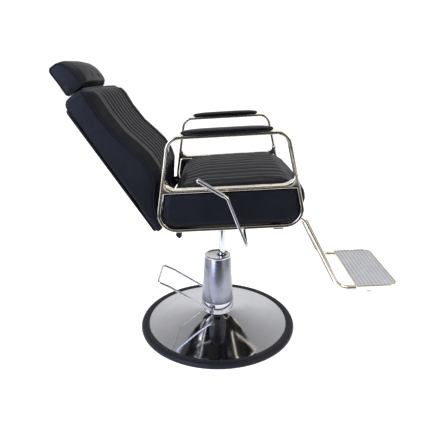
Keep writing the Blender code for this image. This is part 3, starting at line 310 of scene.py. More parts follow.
cap_low, cap_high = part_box("pump_cap")
cap = lathe([(0.0002, cap_low.z), (cover_head - 0.0002, cap_low.z), (cover_head, cap_low.z + 0.0008),
             (cover_head - 0.0008, cap_high.z - 0.0012), (cover_head - 0.0030, cap_high.z - 0.0001),
             (cover_head - 0.0060, cap_high.z - 0.0001), (cover_head - 0.0086, cap_high.z - 0.0012),
             (cover_head - 0.0110, cap_low.z + 0.0036), (cover_head - 0.0130, cap_low.z + 0.0031),
             (0.0002, cap_low.z + 0.0031)])
ram_low, ram_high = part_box("ram")
ram_x = (ram_low.x + ram_high.x) / 2
ram_radius = (ram_high.x - ram_low.x) / 2
ram_gap = 0.006
bpy.ops.mesh.primitive_cylinder_add(vertices=64, radius=ram_radius + ram_gap, depth=0.04,
                                    location=(ram_x, 0, cap_low.z))
drill = bpy.context.object
apply(cap, "BOOLEAN", operation="DIFFERENCE", object=drill)
bpy.data.objects.remove(drill)
fit(cap, "cap", "base", chrome, ["pump_cap"])

wiper_low, wiper_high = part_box("ram_wiper")
wiper_bore = ram_radius + 0.0003
wiper = lathe([(wiper_bore, wiper_low.z), (wiper_bore, wiper_high.z),
               (ram_radius + 0.0018, wiper_high.z - 0.0004), (ram_radius + 0.0034, wiper_high.z - 0.0024),
               (ram_radius + 0.0048, wiper_low.z + 0.004), (ram_radius + 0.0050, wiper_low.z),
               (wiper_bore, wiper_low.z)], (ram_x, 0), 64)
fit(wiper, "wiper_seal", "base", charcoal_rubber, ["ram_wiper"])

ram_chamfer = 0.001
ram = lathe([(ram_radius - ram_chamfer, ram_low.z), (ram_radius, ram_low.z + ram_chamfer),
             (ram_radius, ram_high.z - ram_chamfer), (ram_radius - ram_chamfer, ram_high.z)], (ram_x, 0), 64)
fit(ram, "polished_ram", "column", chrome, ["ram"])


# ---- Foot pedal ----
# One chromed rod is bent to a U and pressed on the ends of the cross shaft that goes through
# the collar. Its foot end is cranked level for the stylist's shoe.

def bent(corners, step=math.radians(5)):
    """Points along a bent rod: each corner (x, y, z, bend radius) is an arc."""
    points = [Vector(corners[0][:3])]
    for before, (x, y, z, radius), after in zip(corners, corners[1:], corners[2:]):
        here = Vector((x, y, z))
        back = (Vector(before[:3]) - here).normalized()
        ahead = (Vector(after[:3]) - here).normalized()
        half = back.angle(ahead) / 2
        centre = here + (back + ahead).normalized() * radius / math.sin(half)
        start = here + back * radius / math.tan(half) - centre
        end = here + ahead * radius / math.tan(half) - centre
        pieces = max(2, math.ceil(start.angle(end) / step))
        for i in range(pieces + 1):
            turn = Matrix.Rotation(start.angle(end) * i / pieces, 3, start.cross(end))
            points.append(centre + turn @ start)
    points.append(Vector(corners[-1][:3]))
    return points


def rod(points, radius, closed=False):
    """A round rod or cord along a line of points, made a mesh."""
    curve = bpy.data.curves.new("rod", "CURVE")
    curve.dimensions = "3D"
    curve.bevel_depth = radius
    curve.bevel_resolution = 6
    curve.use_fill_caps = not closed
    spline = curve.splines.new("POLY")
    spline.points.add(len(points) - 1)
    for point, at in zip(spline.points, points):
        point.co = (*at, 1.0)
    spline.use_cyclic_u = closed
    return made_mesh(curve)


def made_mesh(curve):
    """A curve turned into one closed mesh."""
    piece = bpy.data.objects.new("curve", curve)
    bpy.context.scene.collection.objects.link(piece)
    bpy.ops.object.select_all(action="DESELECT")
    piece.select_set(True)
    bpy.context.view_layer.objects.active = piece
    bpy.ops.object.convert(target="MESH")
    bpy.ops.object.mode_set(mode="EDIT")
    bpy.ops.mesh.select_all(action="SELECT")
    bpy.ops.mesh.remove_doubles(threshold=0.00002)
    bpy.ops.mesh.normals_make_consistent(inside=False)
    bpy.ops.object.mode_set(mode="OBJECT")
    return bpy.context.object


pedal_width = 0.075
pedal_reach = 0.198
pedal_rise = 0.124
pedal_rod = 0.0045
heel_share = 0.78
heel = Vector((-pedal_reach, 0, pedal_rise)) * heel_share
half_loop = [(0.006, pedal_width, -0.004, 0), (heel.x, pedal_width, heel.z, 0.030),
             (-pedal_reach, pedal_width, pedal_rise - 0.006, 0.012)]
other_half = [(x, -y, z, radius) for x, y, z, radius in reversed(half_loop)]
pedal = rod(bent(half_loop + other_half), pedal_rod)
fit(pedal, "pedal_loop", "pedal", chrome, ["pedal_bar"], Matrix.Translation((shaft_x, 0, shaft_z)))
finish_cad(bare_steel, "pedal_shaft", "pedal_cam")
sides = ((-1, "right"), (1, "left"))
for side, name in sides:
    washer = lathe([(0.0002, 0), (0.0078, 0), (0.0085, 0.0008), (0.0085, 0.0042),
                    (0.0072, 0.0052), (0.0002, 0.0052)], segments=32)
    stand = Matrix.Translation((shaft_x, side * (pedal_width + 0.0046), shaft_z))
    fit(washer, "pedal_washer_" + name, "pedal", bare_steel,
        place=stand @ Matrix.Rotation(-side * math.pi / 2, 4, "X"))

# The plunger's return spring: four turns of wire round the stem, standing on the block. The real one shortens
# as the pedal pushes the plunger down; this piece is drawn at one length.
spring_turns = 4
spring_wire = 0.0008
per_turn = 24
low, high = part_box("plunger_spring")
coil_x = (low[0] + high[0]) / 2
coil_radius = (high[0] - low[0]) / 2 - spring_wire
coil_foot, coil_head = low[2] + spring_wire, high[2] - spring_wire
coil_steps = spring_turns * per_turn
coil = []
for step in range(coil_steps + 1):
    turned = math.tau * step / per_turn
    up = step / coil_steps
    coil.append((coil_x + coil_radius * math.cos(turned), coil_radius * math.sin(turned),
                 coil_foot + (coil_head - coil_foot) * up))
spring = fit(rod(coil, spring_wire), "return_spring", "base", bare_steel, ["plunger_spring"])
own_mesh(spring)


# ---- Arm frames ----
# Each frame is flat steel bar bent to a ring on edge, with a cross bar welded in and its
# corners filled and filed round. The whole frame is polished and chrome plated.

seat_place = Matrix.Translation((0.0155, 0, 0.475)) @ Matrix.Rotation(math.radians(-3.2), 4, "Y")
bar_face = 0.0095
bar_depth = 0.030
frame_foot = 0.0203
frame_head = 0.306
outer_side = 0.2985
foot_corner = 0.055
head_corner = 0.045
cross_bar_low = 0.1400
cross_bar_high = 0.1505


def slanted(foot, head):
    """How far forward a leaning edge is at each height of the frame."""
    return lambda height: foot + (head - foot) * (height - frame_foot) / (frame_head - frame_foot)


rear_edge = slanted(-0.2004, -0.1413)
front_edge = slanted(0.2560, 0.2030)


def rounded(corners, step=math.radians(6)):
    """Points of a closed outline whose corners (x, z, radius) are arcs."""
    points = []
    for index, (x, z, radius) in enumerate(corners):
        here = Vector((x, z))
        back = (Vector(corners[index - 1][:2]) - here).normalized()
        ahead = (Vector(corners[(index + 1) % len(corners)][:2]) - here).normalized()
        if not radius:
            points.append((x, z))
            continue
        half = back.angle(ahead) / 2
        centre = here + (back + ahead).normalized() * radius / math.sin(half)
        start = here + back * radius / math.tan(half) - centre
        end = here + ahead * radius / math.tan(half) - centre
        sweep = start.angle_signed(end)
        pieces = max(2, math.ceil(abs(sweep) / step))
        for i in range(pieces + 1):
            spoke = start.copy()
            spoke.rotate(Matrix.Rotation(-sweep * i / pieces, 2))
            points.append(tuple(centre + spoke))
    return points


def plate(outlines, low, high, edge, steps=3):
    """Outlines in XZ, the first outside and the rest holes, made thick along Y with rounded edges."""
    curve = bpy.data.curves.new("outline", "CURVE")
    curve.dimensions = "2D"
    curve.fill_mode = "BOTH"
    curve.extrude = (high - low) / 2 - edge
    curve.bevel_depth = edge
    curve.bevel_resolution = steps
    curve.offset = -edge
    for outline in outlines:
        spline = curve.splines.new("POLY")
        spline.points.add(len(outline) - 1)
        for point, (x, z) in zip(spline.points, outline):
            point.co = (x, z, 0, 1)
        spline.use_cyclic_u = True
    piece = made_mesh(curve)
    stand = Matrix.Translation((0, (low + high) / 2, 0)) @ Matrix.Rotation(math.pi / 2, 4, "X")
    piece.data.transform(stand)
    return piece


def window(inset):
    """The frame's lower window, drawn in by an inset."""
    low = frame_foot + bar_face + inset
    high = cross_bar_low - inset
    corner = foot_corner - bar_face - inset
    bar = bar_face + inset
    return [(rear_edge(low) + bar, low, corner), (rear_edge(high) + bar, high, 0.004),
            (front_edge(high) - bar, high, 0.004), (front_edge(low) - bar, low, corner)]


outside = [(rear_edge(frame_foot), frame_foot, foot_corner),
           (rear_edge(frame_head), frame_head, head_corner),
           (front_edge(frame_head), frame_head, head_corner),
           (front_edge(frame_foot), frame_foot, foot_corner)]
low, low_corner = cross_bar_high, 0.028
high, high_corner = frame_head - bar_face, 0.0355
open_window = [(rear_edge(low) + bar_face, low, low_corner),
               (rear_edge(high) + bar_face, high, high_corner),
               (front_edge(high) - bar_face, high, high_corner),
               (front_edge(low) - bar_face, low, low_corner)]

# Warm chrome: the cream tint of thick decorative nickel, and softer than the chrome plate.
frame_chrome, tree, shader, here = new_material("frame_chrome")
haze = add(tree, "TexNoise", {"Scale": 9.0, "Detail": 3.0, "Distortion": 0.4}, {"Vector": here})
shine = add(tree, "MapRange", {"From Min": 0.35, "From Max": 0.75, "To Min": 0.09, "To Max": 0.17},
            {"Value": haze.outputs["Fac"]})
tone = add(tree, "ValToRGB", {}, {"Fac": haze.outputs["Fac"]})
tone.color_ramp.elements[0].color = linear("#ebe3d2")
tone.color_ramp.elements[1].color = linear("#d6cebf")
shader.inputs["Metallic"].default_value = 1.0
tree.links.new(tone.outputs["Color"], shader.inputs["Base Color"])
tree.links.new(shine.outputs["Result"], shader.inputs["Roughness"])

for side, name in sides:
    low_y, high_y = sorted((side * outer_side, side * (outer_side - bar_depth)))
    frame_piece = plate([rounded(outside), rounded(open_window), rounded(window(0.0))], low_y, high_y, 0.0022)
    fit(frame_piece, "arm_frame_" + name, "seat", frame_chrome, ["side_frame_" + name], seat_place)


# ---- Padded side panels ----
# A board covered with thin foam and black artificial leather fills each frame's lower window.

# Artificial leather: black with a blue cast, a pebble grain and a soft, uneven sheen.
# Its pebbles are about 1 mm across on the real cover and are drawn at twice that.
vinyl, tree, shader, here = new_material("black_artificial_leather")
pebble = add(tree, "TexVoronoi", {"feature": "SMOOTH_F1", "Scale": 480.0}, {"Vector": here})
soft = add(tree, "TexNoise", {"Scale": 11.0, "Detail": 5.0, "Roughness": 0.55}, {"Vector": here})
crease = add(tree, "TexNoise", {"Scale": 45.0, "Detail": 3.0, "Distortion": 0.8}, {"Vector": here})
shade = add(tree, "ValToRGB", {}, {"Fac": soft.outputs["Fac"]})
shade.color_ramp.elements[0].color = linear("#08090c")
shade.color_ramp.elements[1].color = linear("#14161e")
matt = add(tree, "MapRange", {"To Min": 0.34, "To Max": 0.56}, {"Value": soft.outputs["Fac"]})
grain = add(tree, "Bump", {"Strength": 0.22, "Distance": 0.0004}, {"Height": pebble.outputs["Distance"]})
folds = add(tree, "Bump", {"Strength": 0.20, "Distance": 0.004},
            {"Height": crease.outputs["Fac"], "Normal": grain.outputs["Normal"]})
tree.links.new(shade.outputs["Color"], shader.inputs["Base Color"])
tree.links.new(matt.outputs["Result"], shader.inputs["Roughness"])
tree.links.new(folds.outputs["Normal"], shader.inputs["Normal"])
shader.inputs["Specular IOR Level"].default_value = 0.13

# Foam and board stop a cover from drawing in, so only this share of an inward move is kept.
pull_in = 0.2


def swell(piece, voxel, most, sideways=1.0, flat_bottom=False):
    """Blow a closed cover up like filled upholstery, and cap how far each point may move."""
    apply(piece, "REMESH", mode="VOXEL", voxel_size=voxel)
    apply(piece, "SMOOTH", factor=0.5, iterations=2)
    rest = [vertex.co.copy() for vertex in piece.data.vertices]
    facing = [vertex.normal.copy() for vertex in piece.data.vertices]
    cloth = piece.modifiers.new("cloth", "CLOTH")
    cloth.settings.use_pressure = True
    cloth.settings.uniform_pressure_force = 4.0
    cloth.settings.effector_weights.gravity = 0.0
    cloth.settings.tension_stiffness = 25.0
    cloth.settings.compression_stiffness = 25.0
    for moment in range(1, 21):
        bpy.context.scene.frame_set(moment)
    bpy.context.view_layer.objects.active = piece
    bpy.ops.object.modifier_apply(modifier=cloth.name)
    bpy.context.scene.frame_set(1)
    for vertex, start, normal in zip(piece.data.vertices, rest, facing):
        shift = vertex.co - start
        shift.y *= sideways
        inward = min(0.0, shift.dot(normal))
        shift -= normal * inward * (1 - pull_in)
        if flat_bottom and normal.z < -0.7:
            shift *= 0
        if shift.length > most:
            shift *= most / shift.length
        vertex.co = start + shift
    apply(piece, "SUBSURF", levels=1, render_levels=1)


panel_out = 0.0030
panel_gap = 0.0020
panel_outer = outer_side - 0.0075
panel_inner = outer_side - 0.0375
for side, name in sides:
    low_y, high_y = sorted((side * panel_outer, side * panel_inner))
    panel = plate([rounded(window(panel_gap))], low_y, high_y, 0.004)
    swell(panel, 0.005, panel_out)
    fit(panel, "side_panel_" + name, "seat", vinyl, ["seat_side_panel_" + name], seat_place, 60)


# ---- Arm pads ----
# Moulded polyurethane pads with a glossy skin are screwed on the frames from below.
# They are crowned along and across, and run out thin and round at both ends.

# Glossy moulded skin: near black, with faint swirls from the mould.
moulded_skin, tree, shader, here = new_material("glossy_moulded_skin")
swirl = add(tree, "TexNoise", {"Scale": 35.0, "Detail": 4.0, "Distortion": 1.5}, {"Vector": here})
shade = add(tree, "ValToRGB", {}, {"Fac": swirl.outputs["Fac"]})
shade.color_ramp.elements[0].color = linear("#050608")
shade.color_ramp.elements[1].color = linear("#0c0e13")
shader.inputs["Specular IOR Level"].default_value = 0.12
matt = add(tree, "MapRange", {"To Min": 0.20, "To Max": 0.36}, {"Value": swirl.outputs["Fac"]})
dents = add(tree, "Bump", {"Strength": 0.08, "Distance": 0.002}, {"Height": swirl.outputs["Fac"]})
tree.links.new(shade.outputs["Color"], shader.inputs["Base Color"])
tree.links.new(matt.outputs["Result"], shader.inputs["Roughness"])
tree.links.new(dents.outputs["Normal"], shader.inputs["Normal"])

pad_rear = -0.102
pad_front = 0.160
pad_width = 0.046
pad_low = frame_head + 0.0003
pad_high = pad_low + 0.017
pad_x = (pad_rear + pad_front) / 2
pad_y = outer_side - bar_depth / 2
for side, name in sides:
    bpy.ops.object.select_all(action="DESELECT")
    bpy.ops.mesh.primitive_uv_sphere_add(segments=64, ring_count=32, radius=1, rotation=(0, math.pi / 2, 0))
    pad = bpy.context.object
    bpy.ops.object.transform_apply()
    for vertex in pad.data.vertices:
        x, y, z = vertex.co
        x = math.copysign(abs(x) ** 0.62, x)
        round_off = (1 - abs(x) ** 4.5) ** 0.42 / max(math.hypot(y, z), 1e-6)
        across = math.copysign(abs(y * round_off) ** 0.80, y)
        up = z * round_off
        up = up if up > 0 else max(up * 1.1, -0.62)
        vertex.co = (x * (pad_front - pad_rear) / 2, across * pad_width / 2, up)
    low_point = min(vertex.co.z for vertex in pad.data.vertices)
    high_point = max(vertex.co.z for vertex in pad.data.vertices)
    for vertex in pad.data.vertices:
        share = (vertex.co.z - low_point) / (high_point - low_point)
        vertex.co.z = pad_low + (pad_high - pad_low) * share
        vertex.co.x += pad_x
        vertex.co.y += side * pad_y
    fit(pad, "arm_rest_" + name, "seat", moulded_skin, ["arm_pad_" + name], seat_place, 60)


# ---- Seat metal ----
# A pressed plate is screwed to the hub on the ram. Two steel channels on it carry the seat
# board, and a chromed tube and a flat strap cross under it and hold the arm frames.

finish_cad(powder_coat, "swivel_hub", "mount_plate", "seat_rail_left", "seat_rail_right", "front_cross_strap",
           "pivot_bracket_left", "pivot_bracket_right", "under_bracket", "footrest_clamp")
finish_cad(bare_steel, "pivot_pin_left", "pivot_pin_right", "strut_front_pin")
finish_cad(chrome, "rear_cross_tube", "frame_bolt_left", "frame_bolt_right")


def screw_head(radius, height):
    """A domed screw head on Z = 0 with a hexagon socket."""
    head = lathe([(0.0002, height), (radius * 0.55, height), (radius * 0.86, height * 0.72),
                  (radius, height * 0.25), (radius, 0), (0.0002, 0)], segments=40)
    bpy.ops.mesh.primitive_cylinder_add(vertices=6, radius=radius * 0.42, depth=height,
                                        location=(0, 0, height))
    socket = bpy.context.object
    apply(head, "BOOLEAN", operation="DIFFERENCE", object=socket)
    bpy.data.objects.remove(socket)
    return head


for side, name in sides:
    for end, forward in (("rear", -0.1585), ("front", 0.2265)):
        head = screw_head(0.0058, 0.0035)
        stand = Matrix.Translation((forward, side * (outer_side - bar_depth - 0.0002), 0.168))
        fit(head, "frame_screw_" + end + "_" + name, "seat", chrome,
            place=seat_place @ stand @ Matrix.Rotation(side * math.pi / 2, 4, "X"))


# ---- Seat cushion ----
# Foam on a plywood board under one cover. Its middle is sewn in narrow channels from back to
# front, between a plain strip at each side, and the front rolls over the board's edge.

# Plywood stained black all over, so only a faint long grain shows, and only from below.
plywood, tree, shader, here = new_material("black_stained_plywood")
along = add(tree, "Mapping", {"Scale": (8.0, 120.0, 120.0)}, {"Vector": here})
growth = add(tree, "TexNoise", {"Scale": 1.0, "Detail": 6.0}, {"Vector": along.outputs["Vector"]})
shade = add(tree, "ValToRGB", {}, {"Fac": growth.outputs["Fac"]})
shade.color_ramp.elements[0].color = linear("#0f0e0d")
shade.color_ramp.elements[1].color = linear("#1c1a18")
tree.links.new(shade.outputs["Color"], shader.inputs["Base Color"])
shader.inputs["Roughness"].default_value = 0.7
shader.inputs["Specular IOR Level"].default_value = 0.15
finish_cad(plywood, "seat_board")


def ease(low, high, value):
    """0 below low, 1 above high and a soft curve between."""
    share = min(1.0, max(0.0, (value - low) / (high - low)))
    return share * share * (3 - 2 * share)


def channels(across, half_width, count, depth):
    """How far the cover stands above its seams, across a row of sewn channels."""
    pitch = 2 * half_width / count
    inside = ease(-0.004, 0.004, half_width - abs(across))
    phase = ((across + half_width) / pitch) % 1.0
    puff = 1 - abs(2 * phase - 1) ** 2.6
    return depth * ((puff - 1) * inside)


seat_half = 0.2500
seat_top = 0.1520
seat_low = 0.0568
lip_low = 0.0430
board_front = 0.2255
seat_line = [(-0.1470, seat_low, 0.006), (-0.1430, seat_top - 0.008, 0.026),
             (-0.0300, seat_top - 0.004, 0.200), (0.2010, seat_top - 0.001, 0.055),
             (0.2570, seat_top - 0.030, 0.030), (0.2600, 0.0860, 0.022), (0.2420, lip_low, 0.010),
             (board_front, lip_low, 0), (board_front, seat_low, 0)]
seat_cover = plate([rounded(seat_line)], -seat_half + 0.004, seat_half - 0.004, 0.012)
swell(seat_cover, 0.0055, 0.0075, 0.5, True)
seat_seam = 0.200
facing = [vertex.normal.copy() for vertex in seat_cover.data.vertices]
for vertex, normal in zip(seat_cover.data.vertices, facing):
    x, y, z = vertex.co
    top = ease(0.35, 0.75, normal.z)
    nose = ease(0.30, 0.75, normal.x) * (1 - top)
    crown = 1 - (y / seat_half) ** 2
    sewn = channels(y, seat_seam, 9, 0.0052) * ease(-0.140, -0.120, x)
    strip = 0.0022 * ease(0.0, 0.02, abs(y) - seat_seam) * ease(0.0, 0.02, seat_half - abs(y))
    dome = ease(-0.147, -0.040, x) * (1 - 0.6 * ease(0.120, 0.260, x))
    vertex.co.z += top * (sewn + strip + 0.013 * crown * dome - 0.006 * (1 - dome))
    vertex.co.x += nose * (sewn * ease(0.05, 0.09, z) + 0.010 * crown)
fit(seat_cover, "seat_cushion_cover", "seat", vinyl, ["seat_cushion"], seat_place, 80)


# ---- Back ----
# A board with foam and one leathercloth cover: plain sides boxed to full depth, a plain
# bolster down each side of the front, and sewn channels between them.

back_place = seat_place @ Matrix.Translation((-0.180, 0, 0.070)) @ Matrix.Rotation(math.radians(-30), 4, "Y")
back_rear = -0.070
back_low = -0.059
back_half = 0.215
back_long = 0.494
seam_line = [(0.026, 0.004), (0.034, 0.033), (0.037, 0.055), (0.060, 0.097), (0.095, 0.140), (0.106, 0.175),
             (0.107, 0.221), (0.097, 0.268), (0.082, 0.325), (0.077, 0.397), (0.079, 0.465)]


def back_at(depth, height):
    """A point on the back's side from its depth and its height along the back."""
    return back_rear + depth, back_low + height


side_line = [(*back_at(0.005, 0.003), 0.004), (*back_at(0.005, back_long - 0.003), 0.024)]
side_line += [(*back_at(0.082, back_long - 0.003), 0.014)]
side_line += [(*back_at(depth, height), 0.030) for depth, height in reversed(seam_line[1:-1])]
side_line += [(*back_at(*seam_line[0]), 0.003)]
back_cover = plate([rounded(side_line)], -back_half + 0.003, back_half - 0.003, 0.005)
swell(back_cover, 0.0055, 0.0060, 0.22)
channel_half = 0.158
facing = [vertex.normal.copy() for vertex in back_cover.data.vertices]
for vertex, normal in zip(back_cover.data.vertices, facing):
    x, y, z = vertex.co
    height = z - back_low
    depth = x - back_rear
    front = ease(0.25, 0.75, normal.x) * ease(0.024, 0.034, depth)
    crest = 0.015 * ease(0.02, 0.10, height) * (1 - 0.65 * ease(0.44, 0.49, height))
    crest *= ease(0.0, 0.030, back_half - abs(y))
    bolster = 0.004 * ease(0.0, 0.012, abs(y) - channel_half) * ease(0.0, 0.02, back_half - abs(y))
    ends = ease(0.012, 0.030, height) * ease(0.010, 0.026, back_long - height)
    vertex.co.x += front * (crest + (bolster + channels(y, channel_half, 8, 0.0062)) * ends)
    top = ease(0.5, 0.9, normal.z) * ease(0.02, 0.05, depth)
    vertex.co.z += top * 0.004 * (1 - (y / back_half) ** 2)


def sewn_on(cover, line, radius):
    """A line laid on a cover and half sunk in it, as piping is, with a point every 5 mm."""
    skin = BVHTree.FromPolygons([vertex.co for vertex in cover.data.vertices],
                                [face.vertices[:] for face in cover.data.polygons])
    laid = []
    for before, after in zip(line, line[1:]):
        before, after = Vector(before[:3]), Vector(after[:3])
        steps = max(1, round((after - before).length / 0.005))
        for step in range(steps):
            spot, normal = skin.find_nearest(before.lerp(after, step / steps))[:2]
            laid.append(spot + normal * radius * 0.4)
    for _ in range(3):
        smooth = [(a + 2 * b + c) / 4 for a, b, c in zip(laid, laid[1:], laid[2:])]
        laid = [laid[0]] + smooth + [laid[-1]]
    return laid


# Piping: a cord in a folded strip of the same cover, sewn in where the sides meet the front.
cord_radius = 0.0026
half_cord = [(*back_at(*seam_line[0]), 0.0)]
half_cord += [(*back_at(depth, height), 0.030) for depth, height in seam_line[1:]]
corner = back_at(0.082, back_long - 0.004)


def side_cord(side):
    """The piping's line up one side of the back."""
    return [(x, side * (back_half + 0.0005), z, radius) for x, z, radius in half_cord]


right_cord = side_cord(-1) + [(corner[0], -back_half + 0.001, corner[1], 0.012)]
left_cord = [(corner[0], back_half - 0.001, corner[1], 0.012)] + side_cord(1)[::-1]
cord_line = bent(right_cord + left_cord, math.radians(8))
piping = rod(sewn_on(back_cover, cord_line, cord_radius), cord_radius)
fit(piping, "back_piping", "back", vinyl, place=back_place)
fit(back_cover, "back_cushion_cover", "back", vinyl,
    ["back_cushion", "back_board"], back_place, 80)

# The closing panel is a thin padded board in the same cover, pressed on the back's rear.
panel_inset = 0.010
panel_half = back_half - panel_inset
panel_high = back_long - 0.026
panel_line = [(-panel_half, panel_inset, 0.012), (-panel_half, panel_high, 0.020),
              (panel_half, panel_high, 0.020), (panel_half, panel_inset, 0.012)]
rear_panel = plate([rounded(panel_line)], -0.0040, 0.0036, 0.0022)
stand = Matrix.Translation((back_rear, 0, back_low)) @ Matrix.Rotation(math.pi / 2, 4, "Z")
rear_panel.data.transform(stand @ Matrix.Diagonal((1, -1, 1, 1)))
rear_panel.data.flip_normals()
fit(rear_panel, "rear_panel_cover", "back", vinyl, ["back_rear_panel"], back_place)
finish_cad(powder_coat, "hinge_arm_left", "hinge_arm_right", "back_strut_lug")
finish_cad(bare_steel, "strut_rear_pin")

# Black nylon: the guide that the headrest's posts slide in, satin from its mould.
nylon, tree, shader, here = new_material("black_nylon")
flow = add(tree, "TexNoise", {"Scale": 120.0, "Detail": 3.0}, {"Vector": here})
matt = add(tree, "MapRange", {"To Min": 0.35, "To Max": 0.50}, {"Value": flow.outputs["Fac"]})
shade = add(tree, "ValToRGB", {}, {"Fac": flow.outputs["Fac"]})
shade.color_ramp.elements[0].color = linear("#161616")
shade.color_ramp.elements[1].color = linear("#222222")
tree.links.new(shade.outputs["Color"], shader.inputs["Base Color"])
tree.links.new(matt.outputs["Result"], shader.inputs["Roughness"])
finish_cad(nylon, "post_guide")


# ---- Headrest ----
# A small boxed cushion on two flat chromed posts. Its front is plain and crowned, its sides
# are flat, and piping closes the seam between them.

finish_cad(chrome, "headrest_posts")
head_low = back_low + back_long + 0.008
head_high = head_low + 0.103
head_half = 0.135
head_line = [(back_rear + 0.003, head_low + 0.002, 0.006), (back_rear + 0.003, head_high - 0.002, 0.016),
             (back_rear + 0.050, head_high - 0.002, 0.030), (back_rear + 0.070, head_low + 0.060, 0.060),
             (back_rear + 0.073, head_low + 0.002, 0.014)]
head_cover = plate([rounded(head_line)], -head_half + 0.003, head_half - 0.003, 0.006)
swell(head_cover, 0.0045, 0.0050, 0.30)
facing = [vertex.normal.copy() for vertex in head_cover.data.vertices]
for vertex, normal in zip(head_cover.data.vertices, facing):
    x, y, z = vertex.co
    front = ease(0.2, 0.8, normal.x + 0.5 * normal.z) * ease(0.02, 0.05, x - back_rear)
    crest = ease(0.0, 0.030, head_half - abs(y)) * (1 - 0.35 * (y / head_half) ** 2)
    vertex.co.x += front * crest * 0.013
head_cord_radius = 0.0022
for side, name in sides:
    edge = side * (head_half + 0.0008)
    cord = [(back_rear + 0.003, edge, head_low + 0.006, 0)]
    cord += [(x, edge, z, radius) for x, z, radius in head_line[1:]]
    cord += [(back_rear + 0.010, edge, head_low + 0.002, 0)]
    piping = rod(sewn_on(head_cover, bent(cord, math.radians(8)), head_cord_radius), head_cord_radius)
    fit(piping, "headrest_piping_" + name, "headrest", vinyl, place=back_place)
fit(head_cover, "headrest_cover", "headrest", vinyl,
    ["headrest_pad", "headrest_board"], back_place, 80)


# ---- Recline lever ----
# A bent chromed rod outside the right arm frame works the lock under the seat. A knurled
# chrome sleeve is pressed on its handle.

lever_place = seat_place @ Matrix.Translation((0.072, 0, -0.0215))
lever_side = -0.335
lever_rod = 0.0048
lever_line = [(0, 0.033, 0, 0), (0, lever_side, 0, 0.014),
              (-0.0505, lever_side, 0.1520, 0.022), (-0.1300, lever_side, 0.2065, 0)]
lever = rod(bent(lever_line), lever_rod)
fit(lever, "lever_bar", "lever", chrome, ["lever_rod"], lever_place)
grip_radius = 0.0068
grip_long = 0.085
grip_bore = 0.0052
groove_count = 20
groove_pitch = 0.0038
groove_floor = grip_radius - 0.0009
bore_end = grip_long + 0.0006
grip_end = grip_long + 0.004
ridges = [(grip_bore, 0), (grip_radius - 0.0008, 0), (grip_radius, 0.001)]
for step in range(groove_count):
    foot_z = 0.004 + step * groove_pitch
    ridges += [(grip_radius, foot_z), (groove_floor, foot_z + 0.0008),
               (groove_floor, foot_z + 0.0018), (grip_radius, foot_z + 0.0026)]
ridges += [(grip_radius, grip_long + 0.001), (grip_radius - 0.0022, grip_end),
           (0.0002, grip_end), (0.0002, bore_end), (grip_bore, bore_end), (grip_bore, 0)]
grip = lathe(ridges, segments=40)
bend = Vector(lever_line[2][:3])
tip = Vector(lever_line[3][:3])
along = (tip - bend).normalized()
stand = Matrix.Translation(tip - along * grip_long) @ along.to_track_quat("Z", "Y").to_matrix().to_4x4()
fit(grip, "lever_sleeve", "lever", chrome, ["lever_grip"], lever_place @ stand)
finish_cad(bare_steel, "release_cam")


# ---- Lock strut ----
# A plain gas-spring-like lock between the seat and the back's foot: a black tube and a
# chromed rod, on a pin at each end.

finish_cad(powder_coat, "lock_cylinder")
finish_cad(chrome, "lock_rod")


# ---- Footrest ----
# One chromed tube is bent down and forward from under the seat. A ribbed aluminium tread
# lies in a chromed rim across its two ends, with two rubber bumpers pressed on from below.

foot_y = 0.150
foot_w = 0.0050
foot_tube = 0.0095
foot_low = foot_w - 0.2735
tread_rear = 0.452
tread_long = 0.148
tread_half = 0.160
half_run = [(tread_rear - 0.0003, foot_y, foot_low, 0), (0.395, foot_y, foot_low, 0.055),
            (0.268, foot_y, foot_w, 0.050), (0.112, foot_y, foot_w, 0.030)]
other_run = [(x, -y, z, radius) for x, y, z, radius in reversed(half_run)]
legs = rod(bent(half_run + other_run), foot_tube)
fit(legs, "footrest_legs", "seat", frame_chrome, ["footrest_tube"], seat_place)

rim_low = foot_low - foot_tube
rim_high = rim_low + 0.020
lie = Matrix.Rotation(math.pi / 2, 4, "X") @ Matrix.Diagonal((1, 1, -1, 1))


def tread_outline(inset, corner):
    """The tread's outline in plan, drawn in by an inset, with round front corners."""
    rear = tread_rear + inset
    front = tread_rear + tread_long - inset
    half = tread_half - inset
    return rounded([(rear, -half, 0.004), (rear, half, 0.004), (front, half, corner), (front, -half, corner)])


rim = plate([tread_outline(0, 0.030), tread_outline(0.004, 0.026)], rim_low, rim_high, 0.0016)
rim.data.transform(lie)
rim.data.flip_normals()
fit(rim, "tread_rim", "seat", frame_chrome, ["footrest_rim"], seat_place)

# Extruded aluminium: pale and satin, with fine lines that run along the ribs.
aluminium, tree, shader, here = new_material("extruded_aluminium")
along_ribs = add(tree, "Mapping", {"Scale": (700.0, 8.0, 700.0)}, {"Vector": here})
lines = add(tree, "TexNoise", {"Scale": 1.0, "Detail": 4.0}, {"Vector": along_ribs.outputs["Vector"]})
wear = add(tree, "TexNoise", {"Scale": 30.0, "Detail": 4.0}, {"Vector": here})
shade = add(tree, "ValToRGB", {}, {"Fac": wear.outputs["Fac"]})
shade.color_ramp.elements[0].color = linear("#c3c3c9")
shade.color_ramp.elements[1].color = linear("#dadade")
matt = add(tree, "MapRange", {"To Min": 0.34, "To Max": 0.52}, {"Value": lines.outputs["Fac"]})
dents = add(tree, "Bump", {"Strength": 0.1, "Distance": 0.0001}, {"Height": lines.outputs["Fac"]})
shader.inputs["Metallic"].default_value = 0.85
tree.links.new(shade.outputs["Color"], shader.inputs["Base Color"])
tree.links.new(matt.outputs["Result"], shader.inputs["Roughness"])
tree.links.new(dents.outputs["Normal"], shader.inputs["Normal"])

